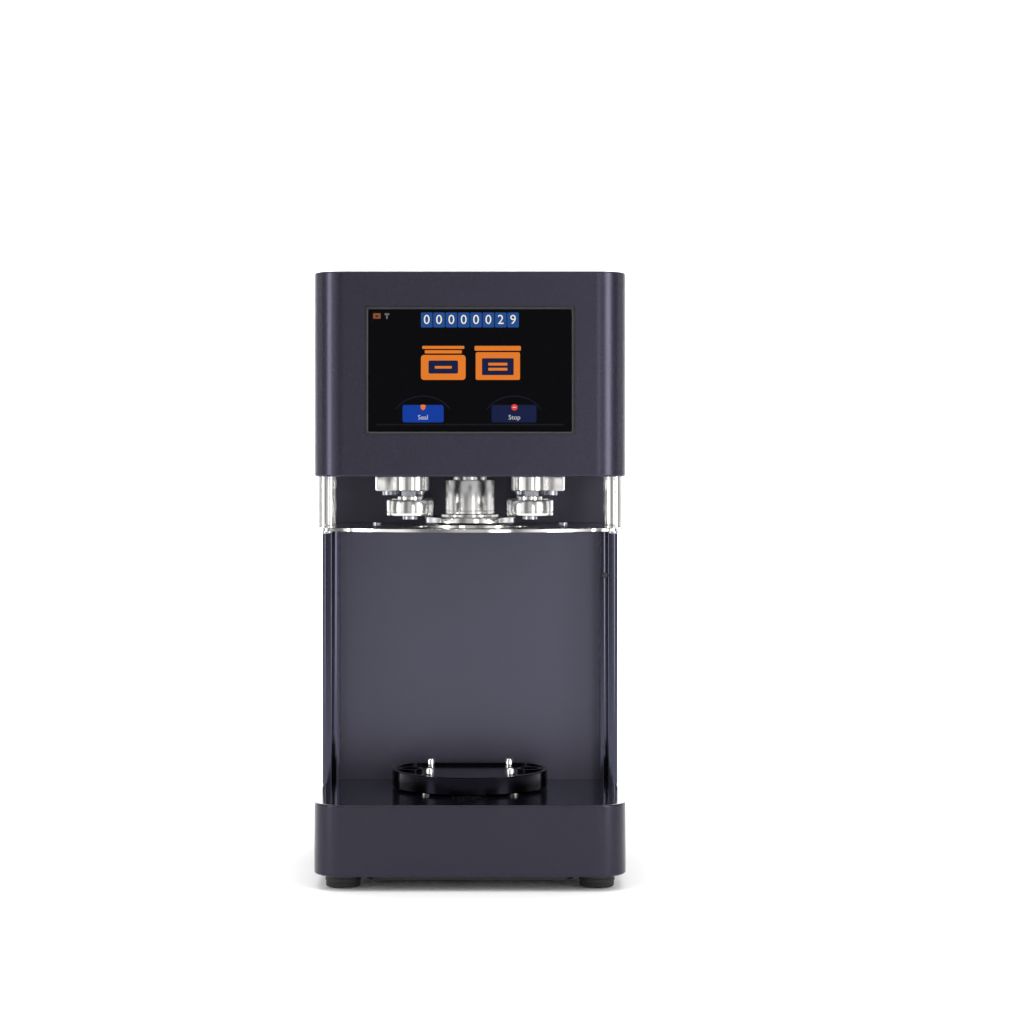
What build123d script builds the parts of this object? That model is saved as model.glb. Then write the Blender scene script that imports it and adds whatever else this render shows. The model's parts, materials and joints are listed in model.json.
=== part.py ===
from build123d import *
import math
import os

os.makedirs("parts", exist_ok=True)

# A bench can and jar seamer, in millimetres. The front faces -Y, +X is the user's right and the
# feet stand on z = 0. x = y = 0 is the middle of the whole machine, seen from above.

# ---- Overall sizes
WIDTH = 250.0
BODY_DEPTH = 298.0
INLET_PROUD = 2.0
FOOT_HEIGHT = 11.4
BASE_HEIGHT = 57.2
COLUMN_HEIGHT = 215.6
PLATE_THICK = 2.8
SEAM_HEIGHT = 42.3
HEAD_HEIGHT = 163.5

# ---- Shells and fits
WALL = 3.0
CORNER = 25.0
EDGE = 1.6
SLIP = 0.2
RUN = 0.05
SEAT = 0.3

# ---- Places in depth, each measured back from the front face
AXIS_SETBACK = 110.0
COLUMN_SETBACK = 130.0
POST_SETBACK = 70.0
NOSE_SETBACK = 30.0
PANEL_RECESS = 35.0
SEAM_CLEARANCE = 106.0

# ---- Levels and lines worked out from them
BASE_TOP = FOOT_HEIGHT + BASE_HEIGHT
PLATE_LOW = BASE_TOP + COLUMN_HEIGHT
PLATE_TOP = PLATE_LOW + PLATE_THICK
HEAD_LOW = PLATE_TOP + SEAM_HEIGHT
HEAD_TOP = HEAD_LOW + HEAD_HEIGHT
HALF_WIDTH = WIDTH / 2
FRONT = -(BODY_DEPTH + INLET_PROUD) / 2
BODY_BACK = FRONT + BODY_DEPTH
BODY_Y = (FRONT + BODY_BACK) / 2
AXIS_Y = FRONT + AXIS_SETBACK
COLUMN_FRONT = FRONT + COLUMN_SETBACK
PANEL_FRONT = COLUMN_FRONT + PANEL_RECESS
UPPER_FRONT = AXIS_Y + SEAM_CLEARANCE
INNER_WIDTH = WIDTH - 2 * WALL
INNER_DEPTH = BODY_DEPTH - 2 * WALL
INNER_CORNER = CORNER - WALL
INNER_BACK = BODY_BACK - WALL


def slab(width, depth, radius, low, height):
    """A block with rounded upright corners, centred on the body, standing on the level low."""
    with BuildPart() as block:
        with BuildSketch(Plane.XY.offset(low)):
            with Locations((0, BODY_Y)):
                RectangleRounded(width, depth, radius)
        extrude(amount=height)
    return block.part


def brick(low, high):
    """A square block between two opposite corners."""
    size = [high[i] - low[i] for i in range(3)]
    with BuildPart() as block:
        with Locations(low):
            Box(*size, align=(Align.MIN, Align.MIN, Align.MIN))
    return block.part


def discs(radius, low, height, places=((0, AXIS_Y),), bore=0.0):
    """Upright discs, or rings when they have a bore, one at each place."""
    with BuildPart() as rounds:
        with BuildSketch(Plane.XY.offset(low)):
            with Locations(*places):
                Circle(radius)
                if bore:
                    Circle(bore, mode=Mode.SUBTRACT)
        extrude(amount=height)
    return rounds.part


# Round screw heads: rounding of the crown, size of the key socket and its depth, as shares of the head
CROWN_SHARE = 0.4
KEY_SHARE = 0.45
KEY_DEPTH_SHARE = 0.6


def screws(places, under_head, shank_radius, shank, head_radius, head, up=True):
    """Round-headed screws whose heads seat on the level under_head; up says where shanks point."""
    way = 1 if up else -1
    with BuildPart() as group:
        with BuildSketch(Plane.XY.offset(under_head)):
            with Locations(*places):
                Circle(shank_radius)
        extrude(amount=way * shank)
        with BuildSketch(Plane.XY.offset(under_head)):
            with Locations(*places):
                Circle(head_radius)
        extrude(amount=-way * head)
        rims = group.edges().filter_by(GeomType.CIRCLE)
        crowns = rims.group_by(Axis.Z)[0 if up else -1]
        fillet(crowns, head * CROWN_SHARE)
        with BuildSketch(Plane.XY.offset(under_head - way * head)):
            with Locations(*places):
                RegularPolygon(head_radius * KEY_SHARE, 6)
        extrude(amount=way * head * KEY_DEPTH_SHARE, mode=Mode.SUBTRACT)
    return group.part


# ---- Base: shell, bottom cover and feet
FOOT_RADIUS = 15.0
FOOT_INSET_X = 23.0
FOOT_INSET_Y = 30.0
FOOT_TAPER = 6.0
BOSS_RADIUS = 7.0
COVER_THICK = 2.0
PAN_LOW = 5.0
PAN_MARGIN = 3.0
PAN_INSET_Y = 25.0
SCREW_RADIUS = 2.0
SCREW_HEAD_RADIUS = 4.0
FOOT_COUNTERBORE = 5.0
FOOT_SCREW_BITE = 19.0
FOOT_SCREW_HEAD = 2.4
FOOT_X = HALF_WIDTH - FOOT_INSET_X
FOOT_SPOTS = [
    (x, y) for x in (-FOOT_X, FOOT_X) for y in (FRONT + FOOT_INSET_Y, BODY_BACK - FOOT_INSET_Y)
]

# ---- Lift: screw, plunger, guide rods and belt drive under the tray
PLUNGER_RADIUS = 18.0
PLUNGER_BORE = 9.0
PLUNGER_LOW = 20.0
BUSH_WALL = 6.0
BUSH_LENGTH = 23.0
BUSH_FLANGE = 4.0
BUSH_FLANGE_THICK = 3.0
ROD_RADIUS = 4.0
ROD_LOW = 24.0
ROD_OFFSET = 36.0
ROD_BUSH_RADIUS = 7.0
ROD_BUSH_LENGTH = 18.0
CABLE_HOLE_RADIUS = 12.0
CABLE_HOLE_SPOT = (70.0, BODY_BACK - 60.0)
BUSH_RADIUS = PLUNGER_RADIUS + RUN + BUSH_WALL
ROD_SPOTS = [(-ROD_OFFSET, AXIS_Y - ROD_OFFSET), (ROD_OFFSET, AXIS_Y - ROD_OFFSET)]

with BuildPart() as base_shell:
    add(slab(WIDTH, BODY_DEPTH, CORNER, FOOT_HEIGHT, BASE_HEIGHT))
    fillet(base_shell.faces().filter_by(Axis.Z).edges(), EDGE)
    add(slab(INNER_WIDTH, INNER_DEPTH, INNER_CORNER, FOOT_HEIGHT, BASE_HEIGHT - WALL), mode=Mode.SUBTRACT)
    add(discs(BOSS_RADIUS, FOOT_HEIGHT + COVER_THICK, BASE_HEIGHT - COVER_THICK - WALL / 2, FOOT_SPOTS))
    add(discs(SCREW_RADIUS + RUN, FOOT_HEIGHT, BASE_HEIGHT - 2 * WALL, FOOT_SPOTS), mode=Mode.SUBTRACT)
    add(discs(BUSH_RADIUS + RUN, FOOT_HEIGHT, BASE_HEIGHT), mode=Mode.SUBTRACT)
    add(discs(ROD_BUSH_RADIUS + RUN, FOOT_HEIGHT, BASE_HEIGHT, ROD_SPOTS), mode=Mode.SUBTRACT)
    add(discs(CABLE_HOLE_RADIUS, FOOT_HEIGHT, BASE_HEIGHT, [CABLE_HOLE_SPOT]), mode=Mode.SUBTRACT)
base_shell.part.label = "base_shell"
export_step(base_shell.part, "parts/base_shell.step")

pan_width = 2 * (FOOT_X - FOOT_RADIUS - PAN_MARGIN)
pan_depth = BODY_DEPTH - 2 * PAN_INSET_Y
with BuildPart() as bottom_cover:
    add(slab(INNER_WIDTH - 2 * SLIP, INNER_DEPTH - 2 * SLIP, INNER_CORNER - SLIP, FOOT_HEIGHT, COVER_THICK))
    add(slab(pan_width, pan_depth, CORNER / 2, PAN_LOW, FOOT_HEIGHT + COVER_THICK - PAN_LOW))
    hollow_width = pan_width - 2 * COVER_THICK
    hollow_depth = pan_depth - 2 * COVER_THICK
    hollow_corner = CORNER / 2 - COVER_THICK
    hollow = slab(hollow_width, hollow_depth, hollow_corner, PAN_LOW + COVER_THICK, FOOT_HEIGHT)
    add(hollow, mode=Mode.SUBTRACT)
    add(discs(SCREW_RADIUS + RUN, FOOT_HEIGHT, COVER_THICK, FOOT_SPOTS), mode=Mode.SUBTRACT)
bottom_cover.part.label = "bottom_cover"
export_step(bottom_cover.part, "parts/bottom_cover.step")

with BuildPart() as feet:
    with BuildSketch(Plane.XY.offset(FOOT_HEIGHT)):
        with Locations(*FOOT_SPOTS):
            Circle(FOOT_RADIUS)
    extrude(amount=-FOOT_HEIGHT, taper=FOOT_TAPER)
    add(discs(FOOT_COUNTERBORE, 0, FOOT_COUNTERBORE, FOOT_SPOTS), mode=Mode.SUBTRACT)
    add(discs(SCREW_RADIUS + RUN, 0, FOOT_HEIGHT, FOOT_SPOTS), mode=Mode.SUBTRACT)
feet.part.label = "feet"
export_step(feet.part, "parts/feet.step")

foot_shank = FOOT_HEIGHT - FOOT_COUNTERBORE + COVER_THICK + FOOT_SCREW_BITE
with BuildPart() as foot_screws:
    add(screws(FOOT_SPOTS, FOOT_COUNTERBORE, SCREW_RADIUS, foot_shank, SCREW_HEAD_RADIUS, FOOT_SCREW_HEAD))
foot_screws.part.label = "foot_screws"
export_step(foot_screws.part, "parts/foot_screws.step")

# ---- Column: side shell, glossy front edges, recessed front panel, upper wall and rear cover
TRIM_WIDTH = 14.2
TRIM_STEP = 5.2
TRIM_STEP_BACK = 8.0
TRIM_WALL = 2.4
TRIM_ROUND = 4.5
TRIM_INNER_ROUND = 2.025
PANEL_THICK = 2.0
PANEL_FLANGE = 25.0
UPPER_FOOT = 12.0
REAR_COVER_WIDTH = 180.0
REAR_COVER_LOW = 18.0
REAR_COVER_HIGH = 18.0
LEDGE_THICK = 2.0
LEDGE_IN = 10.0
LEDGE_OUT = 8.0
VENT_LENGTH = 44.0
VENT_WIDTH = 3.2
VENT_PITCH = 6.5
VENT_ROWS = 8
FAN_DROP = 75.0
INLET_X = 55.0
INLET_RISE = 42.0
INLET_BODY_WIDTH = 50.0
INLET_BODY_HEIGHT = 24.0
INLET_FLANGE_WIDTH = 60.0
INLET_FLANGE_HEIGHT = 33.0
COVER_SCREW_INSET = 5.0
PANEL_SCREW_X = (-80.0, -27.0, 27.0, 80.0)
COVER_LOW_Z = BASE_TOP + REAR_COVER_LOW
COVER_HIGH_Z = HEAD_LOW - REAR_COVER_HIGH
COVER_HALF = REAR_COVER_WIDTH / 2
FAN_Z = COVER_HIGH_Z - FAN_DROP
INLET_Z = BASE_TOP + INLET_RISE
COVER_MIDDLE_Z = (COVER_LOW_Z + COVER_HIGH_Z) / 2
COVER_SCREWS = [
    (x, z)
    for x in (-COVER_HALF + COVER_SCREW_INSET, COVER_HALF - COVER_SCREW_INSET)
    for z in (COVER_LOW_Z + COVER_SCREW_INSET, COVER_MIDDLE_Z, COVER_HIGH_Z - COVER_SCREW_INSET)
]
PANEL_SCREWS = [(x, PANEL_FRONT + PANEL_FLANGE / 2) for x in PANEL_SCREW_X]

with BuildPart() as column_shell:
    add(slab(WIDTH, BODY_DEPTH, CORNER, BASE_TOP, HEAD_LOW - BASE_TOP))
    add(slab(INNER_WIDTH, INNER_DEPTH, INNER_CORNER, BASE_TOP, HEAD_LOW - BASE_TOP), mode=Mode.SUBTRACT)
    lower_corner = (HALF_WIDTH, PANEL_FRONT, PLATE_TOP)
    upper_corner = (HALF_WIDTH, UPPER_FRONT, HEAD_LOW)
    add(brick((-HALF_WIDTH, FRONT, BASE_TOP), lower_corner), mode=Mode.SUBTRACT)
    add(brick((-HALF_WIDTH, FRONT, PLATE_TOP), upper_corner), mode=Mode.SUBTRACT)
    ledge_half = COVER_HALF + LEDGE_OUT
    ledge_low = (-ledge_half, INNER_BACK - LEDGE_THICK, COVER_LOW_Z - LEDGE_OUT)
    add(brick(ledge_low, (ledge_half, INNER_BACK, COVER_HIGH_Z + LEDGE_OUT)))
    window_half = COVER_HALF - LEDGE_IN
    window_low = (-window_half, INNER_BACK - LEDGE_THICK, COVER_LOW_Z + LEDGE_IN)
    add(brick(window_low, (window_half, INNER_BACK, COVER_HIGH_Z - LEDGE_IN)), mode=Mode.SUBTRACT)
    seat_low = (-COVER_HALF, INNER_BACK, COVER_LOW_Z)
    add(brick(seat_low, (COVER_HALF, BODY_BACK, COVER_HIGH_Z)), mode=Mode.SUBTRACT)
    with BuildSketch(Plane.XZ.offset(-BODY_BACK)):
        with Locations(*COVER_SCREWS):
            Circle(SCREW_RADIUS + RUN)
    extrude(amount=WALL + LEDGE_THICK, mode=Mode.SUBTRACT)
column_shell.part.label = "column_shell"
export_step(column_shell.part, "parts/column_shell.step")

with BuildPart() as rear_cover:
    cover_low = (-COVER_HALF + SLIP, INNER_BACK, COVER_LOW_Z + SLIP)
    add(brick(cover_low, (COVER_HALF - SLIP, BODY_BACK, COVER_HIGH_Z - SLIP)))
    fillet(rear_cover.edges().filter_by(Axis.Y), EDGE)
    with BuildSketch(Plane.XZ.offset(-BODY_BACK)):
        with Locations((0, FAN_Z)):
            with GridLocations(0, VENT_PITCH, 1, VENT_ROWS):
                SlotOverall(VENT_LENGTH, VENT_WIDTH)
        with Locations((-INLET_X, INLET_Z)):
            with GridLocations(0, VENT_PITCH, 1, VENT_ROWS // 2):
                SlotOverall(VENT_LENGTH, VENT_WIDTH)
        with Locations((INLET_X, INLET_Z)):
            Rectangle(INLET_BODY_WIDTH + 2 * SLIP, INLET_BODY_HEIGHT + 2 * SLIP)
    extrude(amount=WALL, mode=Mode.SUBTRACT)
    with Locations(Plane.XZ.offset(-BODY_BACK)):
        with Locations(*COVER_SCREWS):
            with Locations(Rotation(180, 0, 0)):
                CounterSinkHole(SCREW_RADIUS + RUN, SCREW_HEAD_RADIUS + RUN, WALL)
rear_cover.part.label = "rear_cover"
export_step(rear_cover.part, "parts/rear_cover.step")

with BuildPart() as rear_cover_screws:
    with Locations(Plane.XZ.offset(-BODY_BACK)):
        with Locations(*COVER_SCREWS):
            with Locations(Rotation(180, 0, 0)):
                cover_shank = WALL + LEDGE_THICK + SLIP
                Cylinder(SCREW_RADIUS, cover_shank, align=(Align.CENTER, Align.CENTER, Align.MAX))
                head_drop = SCREW_HEAD_RADIUS - SCREW_RADIUS
                Cone(
                    SCREW_RADIUS,
                    SCREW_HEAD_RADIUS,
                    head_drop,
                    align=(Align.CENTER, Align.CENTER, Align.MAX),
                )
rear_cover_screws.part.label = "rear_cover_screws"
export_step(rear_cover_screws.part, "parts/rear_cover_screws.step")

with BuildPart() as column_trims:
    with BuildSketch(Plane.XY.offset(BASE_TOP)):
        with BuildLine():
            outer_left = HALF_WIDTH - TRIM_WIDTH
            step_x = outer_left + TRIM_STEP
            step_y = COLUMN_FRONT + TRIM_STEP_BACK
            Polyline(
                (outer_left, PANEL_FRONT),
                (outer_left, step_y),
                (step_x, step_y),
                (step_x, COLUMN_FRONT),
                (HALF_WIDTH, COLUMN_FRONT),
                (HALF_WIDTH, PANEL_FRONT),
                close=True,
            )
        make_face()
    extrude(amount=COLUMN_HEIGHT)
    upright = column_trims.edges().filter_by(Axis.Z)
    front_edges = upright.group_by(Axis.Y)[0]
    fillet(front_edges.sort_by(Axis.X)[-1], TRIM_ROUND)
    inner_front = column_trims.edges().filter_by(Axis.Z).group_by(Axis.Y)[0].sort_by(Axis.X)[0]
    fillet(inner_front, TRIM_INNER_ROUND)
    inside_low = (outer_left + TRIM_WALL, step_y + TRIM_WALL, BASE_TOP)
    inside_high = (HALF_WIDTH - TRIM_WALL, PANEL_FRONT - TRIM_WALL, PLATE_LOW)
    add(brick(inside_low, inside_high), mode=Mode.SUBTRACT)
    mirror(about=Plane.YZ)
column_trims.part.label = "column_trims"
export_step(column_trims.part, "parts/column_trims.step")

panel_half = HALF_WIDTH - WALL - SLIP
with BuildPart() as column_front_panel:
    panel_corner = (panel_half, PANEL_FRONT + PANEL_THICK, PLATE_LOW)
    add(brick((-panel_half, PANEL_FRONT, BASE_TOP), panel_corner))
    flange_low = (-panel_half, PANEL_FRONT, PLATE_LOW - PANEL_THICK)
    add(brick(flange_low, (panel_half, PANEL_FRONT + PANEL_FLANGE, PLATE_LOW)))
    add(discs(SCREW_RADIUS + RUN, PLATE_LOW - PANEL_THICK, PANEL_THICK, PANEL_SCREWS), mode=Mode.SUBTRACT)
column_front_panel.part.label = "column_front_panel"
export_step(column_front_panel.part, "parts/column_front_panel.step")

with BuildPart() as upper_back_wall:
    add(brick((-panel_half, UPPER_FRONT, PLATE_TOP), (panel_half, UPPER_FRONT + PANEL_THICK, HEAD_LOW)))
upper_back_wall.part.label = "upper_back_wall"
export_step(upper_back_wall.part, "parts/upper_back_wall.step")

# ---- Guide plate and the two front posts that hang the head over it
GUIDE_HOLE_RADIUS = 49.0
EAR_WIDTH = 18.0
EAR_ROUND = 7.0
POST_RADIUS = 7.5
POST_FOOT_RADIUS = 7.8
POST_FOOT = 2.2
POST_SCREW_RADIUS = 2.5
POST_SCREW_DEPTH = 12.0
POST_SCREW_HEAD_RADIUS = 4.4
POST_SCREW_HEAD = 2.0
PLATE_EDGE = 0.6
POST_X = HALF_WIDTH - POST_FOOT_RADIUS
POST_Y = FRONT + POST_SETBACK
POST_SPOTS = [(-POST_X, POST_Y), (POST_X, POST_Y)]
EAR_FRONT = POST_Y - POST_FOOT_RADIUS
ear_x = panel_half - EAR_WIDTH

with BuildPart() as guide_plate:
    with BuildSketch(Plane.XY.offset(PLATE_LOW)):
        with BuildLine():
            nose = ThreePointArc((-ear_x, EAR_FRONT), (0, FRONT + NOSE_SETBACK), (ear_x, EAR_FRONT))
            Polyline(
                nose @ 1,
                (panel_half, EAR_FRONT),
                (panel_half, UPPER_FRONT + UPPER_FOOT),
                (-panel_half, UPPER_FRONT + UPPER_FOOT),
                (-panel_half, EAR_FRONT),
                nose @ 0,
            )
        make_face()
        side_corners = vertices().group_by(Axis.X)
        fillet([side_corners[0].sort_by(Axis.Y)[0], side_corners[-1].sort_by(Axis.Y)[0]], EAR_ROUND)
        with Locations((0, AXIS_Y)):
            Circle(GUIDE_HOLE_RADIUS, mode=Mode.SUBTRACT)
    extrude(amount=PLATE_THICK)
    fillet(guide_plate.faces().sort_by(Axis.Z)[-1].edges(), PLATE_EDGE)
    add(discs(SCREW_RADIUS + RUN, PLATE_LOW, PLATE_THICK, PANEL_SCREWS), mode=Mode.SUBTRACT)
    add(discs(POST_SCREW_RADIUS + RUN, PLATE_LOW, PLATE_THICK, POST_SPOTS), mode=Mode.SUBTRACT)
guide_plate.part.label = "guide_plate"
export_step(guide_plate.part, "parts/guide_plate.step")

with BuildPart() as plate_screws:
    plate_shank = PLATE_THICK + PANEL_THICK + SLIP
    plate_head = SCREW_RADIUS
    add(screws(PANEL_SCREWS, PLATE_TOP, SCREW_RADIUS, plate_shank, SCREW_HEAD_RADIUS, plate_head, up=False))
plate_screws.part.label = "plate_screws"
export_step(plate_screws.part, "parts/plate_screws.step")

with BuildPart() as front_posts:
    add(discs(POST_RADIUS, PLATE_TOP, SEAM_HEIGHT, POST_SPOTS))
    add(discs(POST_FOOT_RADIUS, PLATE_TOP, POST_FOOT, POST_SPOTS))
    foot_rims = front_posts.edges().filter_by(GeomType.CIRCLE).filter_by_position(
        Axis.Z, PLATE_TOP + POST_FOOT - RUN, PLATE_TOP + POST_FOOT + RUN
    )
    chamfer(foot_rims.group_by(SortBy.RADIUS)[-1], SLIP)
    bore_depth = POST_SCREW_DEPTH + SLIP
    add(discs(POST_SCREW_RADIUS + RUN, PLATE_TOP, bore_depth, POST_SPOTS), mode=Mode.SUBTRACT)
    add(discs(POST_SCREW_RADIUS + RUN, HEAD_LOW - bore_depth, bore_depth, POST_SPOTS), mode=Mode.SUBTRACT)
front_posts.part.label = "front_posts"
export_step(front_posts.part, "parts/front_posts.step")

# ---- Head: deck, shell and the screws that hold them to the posts
DECK_THICK = 6.0
DECK_SINK = 3.0
TURRET_RADIUS = 92.0
TURRET_GAP = 1.5
SHELL_BOSS_RADIUS = 6.0
BOSS_INSET_X = 18.0
BOSS_INSET_FRONT = 14.0
BOSS_INSET_BACK = 18.0
BOSS_SCREW_DEPTH = 14.0
SCREEN_WIDTH = 166.7
SCREEN_HEIGHT = 102.3
SCREEN_DROP = 27.9
SCREEN_CORNER = 2.0
BEZEL_WIDTH = 2.2
BEZEL_CHAMFER = 0.88
BEZEL_SET = 0.8
BEZEL_LIP = 6.0
BEZEL_LIP_THICK = 2.0
GLASS_SET = 2.0
GLASS_THICK = 2.0
MODULE_THICK = 15.0
MODULE_MARGIN = 2.0
DECK_TOP = HEAD_LOW + DECK_THICK
SHELL_CEILING = HEAD_TOP - WALL
SCREEN_Z = HEAD_TOP - SCREEN_DROP - SCREEN_HEIGHT / 2
BOSS_SPOTS = [
    (x, y)
    for x in (-HALF_WIDTH + BOSS_INSET_X, HALF_WIDTH - BOSS_INSET_X)
    for y in (FRONT + BOSS_INSET_FRONT, BODY_BACK - BOSS_INSET_BACK)
]

with BuildPart() as head_deck:
    add(slab(INNER_WIDTH - 2 * SLIP, INNER_DEPTH - 2 * SLIP, INNER_CORNER - SLIP, HEAD_LOW, DECK_THICK))
    add(discs(TURRET_RADIUS + TURRET_GAP, HEAD_LOW, DECK_THICK), mode=Mode.SUBTRACT)
    add(discs(POST_SCREW_RADIUS + RUN, HEAD_LOW, DECK_THICK, BOSS_SPOTS + POST_SPOTS), mode=Mode.SUBTRACT)
    add(discs(POST_SCREW_HEAD_RADIUS + SLIP, HEAD_LOW, DECK_SINK, BOSS_SPOTS), mode=Mode.SUBTRACT)
head_deck.part.label = "head_deck"
export_step(head_deck.part, "parts/head_deck.step")


def screen_frame(width, height, corner, front, depth):
    """A block with rounded corners standing behind the screen window, from the line front backwards."""
    with BuildPart() as block:
        with BuildSketch(Plane.XZ.offset(-front)):
            with Locations((0, SCREEN_Z)):
                RectangleRounded(width, height, corner)
        extrude(amount=-depth)
    return block.part


with BuildPart() as head_shell:
    add(slab(WIDTH, BODY_DEPTH, CORNER, HEAD_LOW, HEAD_HEIGHT))
    fillet(head_shell.faces().filter_by(Axis.Z).edges(), EDGE)
    add(slab(INNER_WIDTH, INNER_DEPTH, INNER_CORNER, HEAD_LOW, HEAD_HEIGHT - WALL), mode=Mode.SUBTRACT)
    add(discs(SHELL_BOSS_RADIUS, DECK_TOP, SHELL_CEILING - DECK_TOP + WALL / 2, BOSS_SPOTS))
    add(discs(POST_SCREW_RADIUS + RUN, DECK_TOP, BOSS_SCREW_DEPTH, BOSS_SPOTS), mode=Mode.SUBTRACT)
    add(screen_frame(SCREEN_WIDTH, SCREEN_HEIGHT, SCREEN_CORNER, FRONT, WALL), mode=Mode.SUBTRACT)
head_shell.part.label = "head_shell"
export_step(head_shell.part, "parts/head_shell.step")

with BuildPart() as head_screws:
    deck_shank = DECK_THICK - DECK_SINK + BOSS_SCREW_DEPTH - SLIP
    sunk = HEAD_LOW + DECK_SINK
    add(screws(BOSS_SPOTS, sunk, POST_SCREW_RADIUS, deck_shank, POST_SCREW_HEAD_RADIUS, POST_SCREW_HEAD))
    post_shank = PLATE_THICK + POST_SCREW_DEPTH
    add(
        screws(POST_SPOTS, PLATE_LOW, POST_SCREW_RADIUS, post_shank, POST_SCREW_HEAD_RADIUS, POST_SCREW_HEAD)
    )
    top_shank = DECK_THICK + POST_SCREW_DEPTH
    top_screws = screws(
        POST_SPOTS, DECK_TOP, POST_SCREW_RADIUS, top_shank, POST_SCREW_HEAD_RADIUS, POST_SCREW_HEAD, up=False
    )
    add(top_screws)
head_screws.part.label = "head_screws"
export_step(head_screws.part, "parts/head_screws.step")

# ---- Screen: bezel, touch glass, display module and the board behind it
BOARD_WIDTH = 130.0
BOARD_HEIGHT = 76.0
BOARD_THICK = 1.6
BOARD_SPACER = 6.0
BOARD_RISE = 6.0
CHIP_HEIGHT = 3.0
CHIP_PITCH_X = 32.5
CHIP_PITCH_Z = 25.0
glass_width = SCREEN_WIDTH - 2 * (SLIP + BEZEL_WIDTH + SLIP)
glass_height = SCREEN_HEIGHT - 2 * (SLIP + BEZEL_WIDTH + SLIP)
glass_front = FRONT + GLASS_SET
module_front = glass_front + GLASS_THICK
lip_back = FRONT + WALL + BEZEL_LIP_THICK

with BuildPart() as screen_bezel:
    rim_width = SCREEN_WIDTH - 2 * SLIP
    rim_height = SCREEN_HEIGHT - 2 * SLIP
    rim_depth = lip_back - FRONT - BEZEL_SET
    add(screen_frame(rim_width, rim_height, SCREEN_CORNER, FRONT + BEZEL_SET, rim_depth))
    lip_width = rim_width + 2 * BEZEL_LIP
    lip_height = rim_height + 2 * BEZEL_LIP
    add(screen_frame(lip_width, lip_height, BEZEL_LIP, FRONT + WALL, BEZEL_LIP_THICK))
    inner_width = rim_width - 2 * BEZEL_WIDTH
    inner_height = rim_height - 2 * BEZEL_WIDTH
    add(screen_frame(inner_width, inner_height, EDGE, FRONT, WALL + BEZEL_LIP_THICK), mode=Mode.SUBTRACT)
    inner_edge = screen_bezel.faces().sort_by(Axis.Y)[0].inner_wires().edges()
    chamfer(inner_edge, BEZEL_CHAMFER)
screen_bezel.part.label = "screen_bezel"
export_step(screen_bezel.part, "parts/screen_bezel.step")

with BuildPart() as touch_glass:
    add(screen_frame(glass_width, glass_height, EDGE, glass_front, GLASS_THICK))
touch_glass.part.label = "touch_glass"
export_step(touch_glass.part, "parts/touch_glass.step")

with BuildPart() as display_module:
    add(screen_frame(glass_width, glass_height, EDGE, module_front, lip_back - module_front))
    module_width = SCREEN_WIDTH + 2 * MODULE_MARGIN
    module_height = SCREEN_HEIGHT + 2 * MODULE_MARGIN
    add(screen_frame(module_width, module_height, BEZEL_LIP, lip_back, MODULE_THICK))
display_module.part.label = "display_module"
export_step(display_module.part, "parts/display_module.step")

module_back = lip_back + MODULE_THICK
board_front = module_back + BOARD_SPACER
board_z = SCREEN_Z + BOARD_RISE
with BuildPart() as controller_board:
    board_low = (-BOARD_WIDTH / 2, board_front, board_z - BOARD_HEIGHT / 2)
    add(brick(board_low, (BOARD_WIDTH / 2, board_front + BOARD_THICK, board_z + BOARD_HEIGHT / 2)))
    with BuildSketch(Plane.XZ.offset(-board_front)):
        with Locations((0, board_z)):
            with GridLocations(BOARD_WIDTH - 2 * BOARD_SPACER, BOARD_HEIGHT - 2 * BOARD_SPACER, 2, 2):
                Circle(BOARD_SPACER / 2)
    extrude(amount=BOARD_SPACER)
    with BuildSketch(Plane.XZ.offset(-board_front - BOARD_THICK)):
        with Locations((0, board_z)):
            with GridLocations(CHIP_PITCH_X, CHIP_PITCH_Z, 3, 2):
                Rectangle(CHIP_PITCH_X / 2, CHIP_PITCH_Z / 2)
    extrude(amount=-CHIP_HEIGHT)
controller_board.part.label = "controller_board"
export_step(controller_board.part, "parts/controller_board.step")

# ---- Drive: plate over the turret, fixed spindle with sleeve and chuck, motor and belt
DRIVE_PLATE_THICK = 6.0
DRIVE_PLATE_RISE = 31.0
DRIVE_INSET_X = 12.0
DRIVE_INSET_FRONT = 38.0
DRIVE_INSET_BACK = 8.0
STANDOFF_RADIUS = 6.0
STANDOFF_INSET = 8.0
REAR_STANDOFF_INSET = 30.0
SPINDLE_RADIUS = 14.3
SPINDLE_CLAMP_RADIUS = 24.0
SPINDLE_CLAMP = 8.0
COLLAR_RADIUS = 16.4
SLEEVE_RADIUS = 20.5
SLEEVE_DROP = 3.3
CHUCK_LOW_GAP = 2.0
CHUCK_RADIUS = 38.0
CHUCK_THICK = 6.0
CHUCK_FLANGE_RADIUS = 24.5
CHUCK_FLANGE = 2.5
CHUCK_BOLT_RADIUS = 4.0
CHUCK_BOLT_HEAD_RADIUS = 6.4
CHUCK_BOLT_HEAD = 4.0
CHUCK_BOLT_LENGTH = 24.0
MOTOR_RADIUS = 35.0
MOTOR_ROUND = 3.2
MOTOR_HEIGHT = 78.0
MOTOR_GAP = 6.0
MOTOR_PILOT_RADIUS = 12.0
MOTOR_SHAFT_RADIUS = 5.0
SHAFT_DEPTH = 20.0
PULLEY_HEIGHT = 13.0
PULLEY_DROP = 4.0
TURRET_PULLEY_RADIUS = 45.0
MOTOR_PULLEY_RADIUS = 15.0
PULLEY_RIM = 2.0
PULLEY_RIM_THICK = 1.5
BELT_THICK = 2.0
BELT_GAP = 0.2
DRIVE_LOW = DECK_TOP + DRIVE_PLATE_RISE
DRIVE_TOP = DRIVE_LOW + DRIVE_PLATE_THICK
CHUCK_LOW = PLATE_TOP + CHUCK_LOW_GAP
CHUCK_TOP = CHUCK_LOW + CHUCK_THICK + CHUCK_FLANGE
SLEEVE_TOP = HEAD_LOW - SLEEVE_DROP
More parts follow.
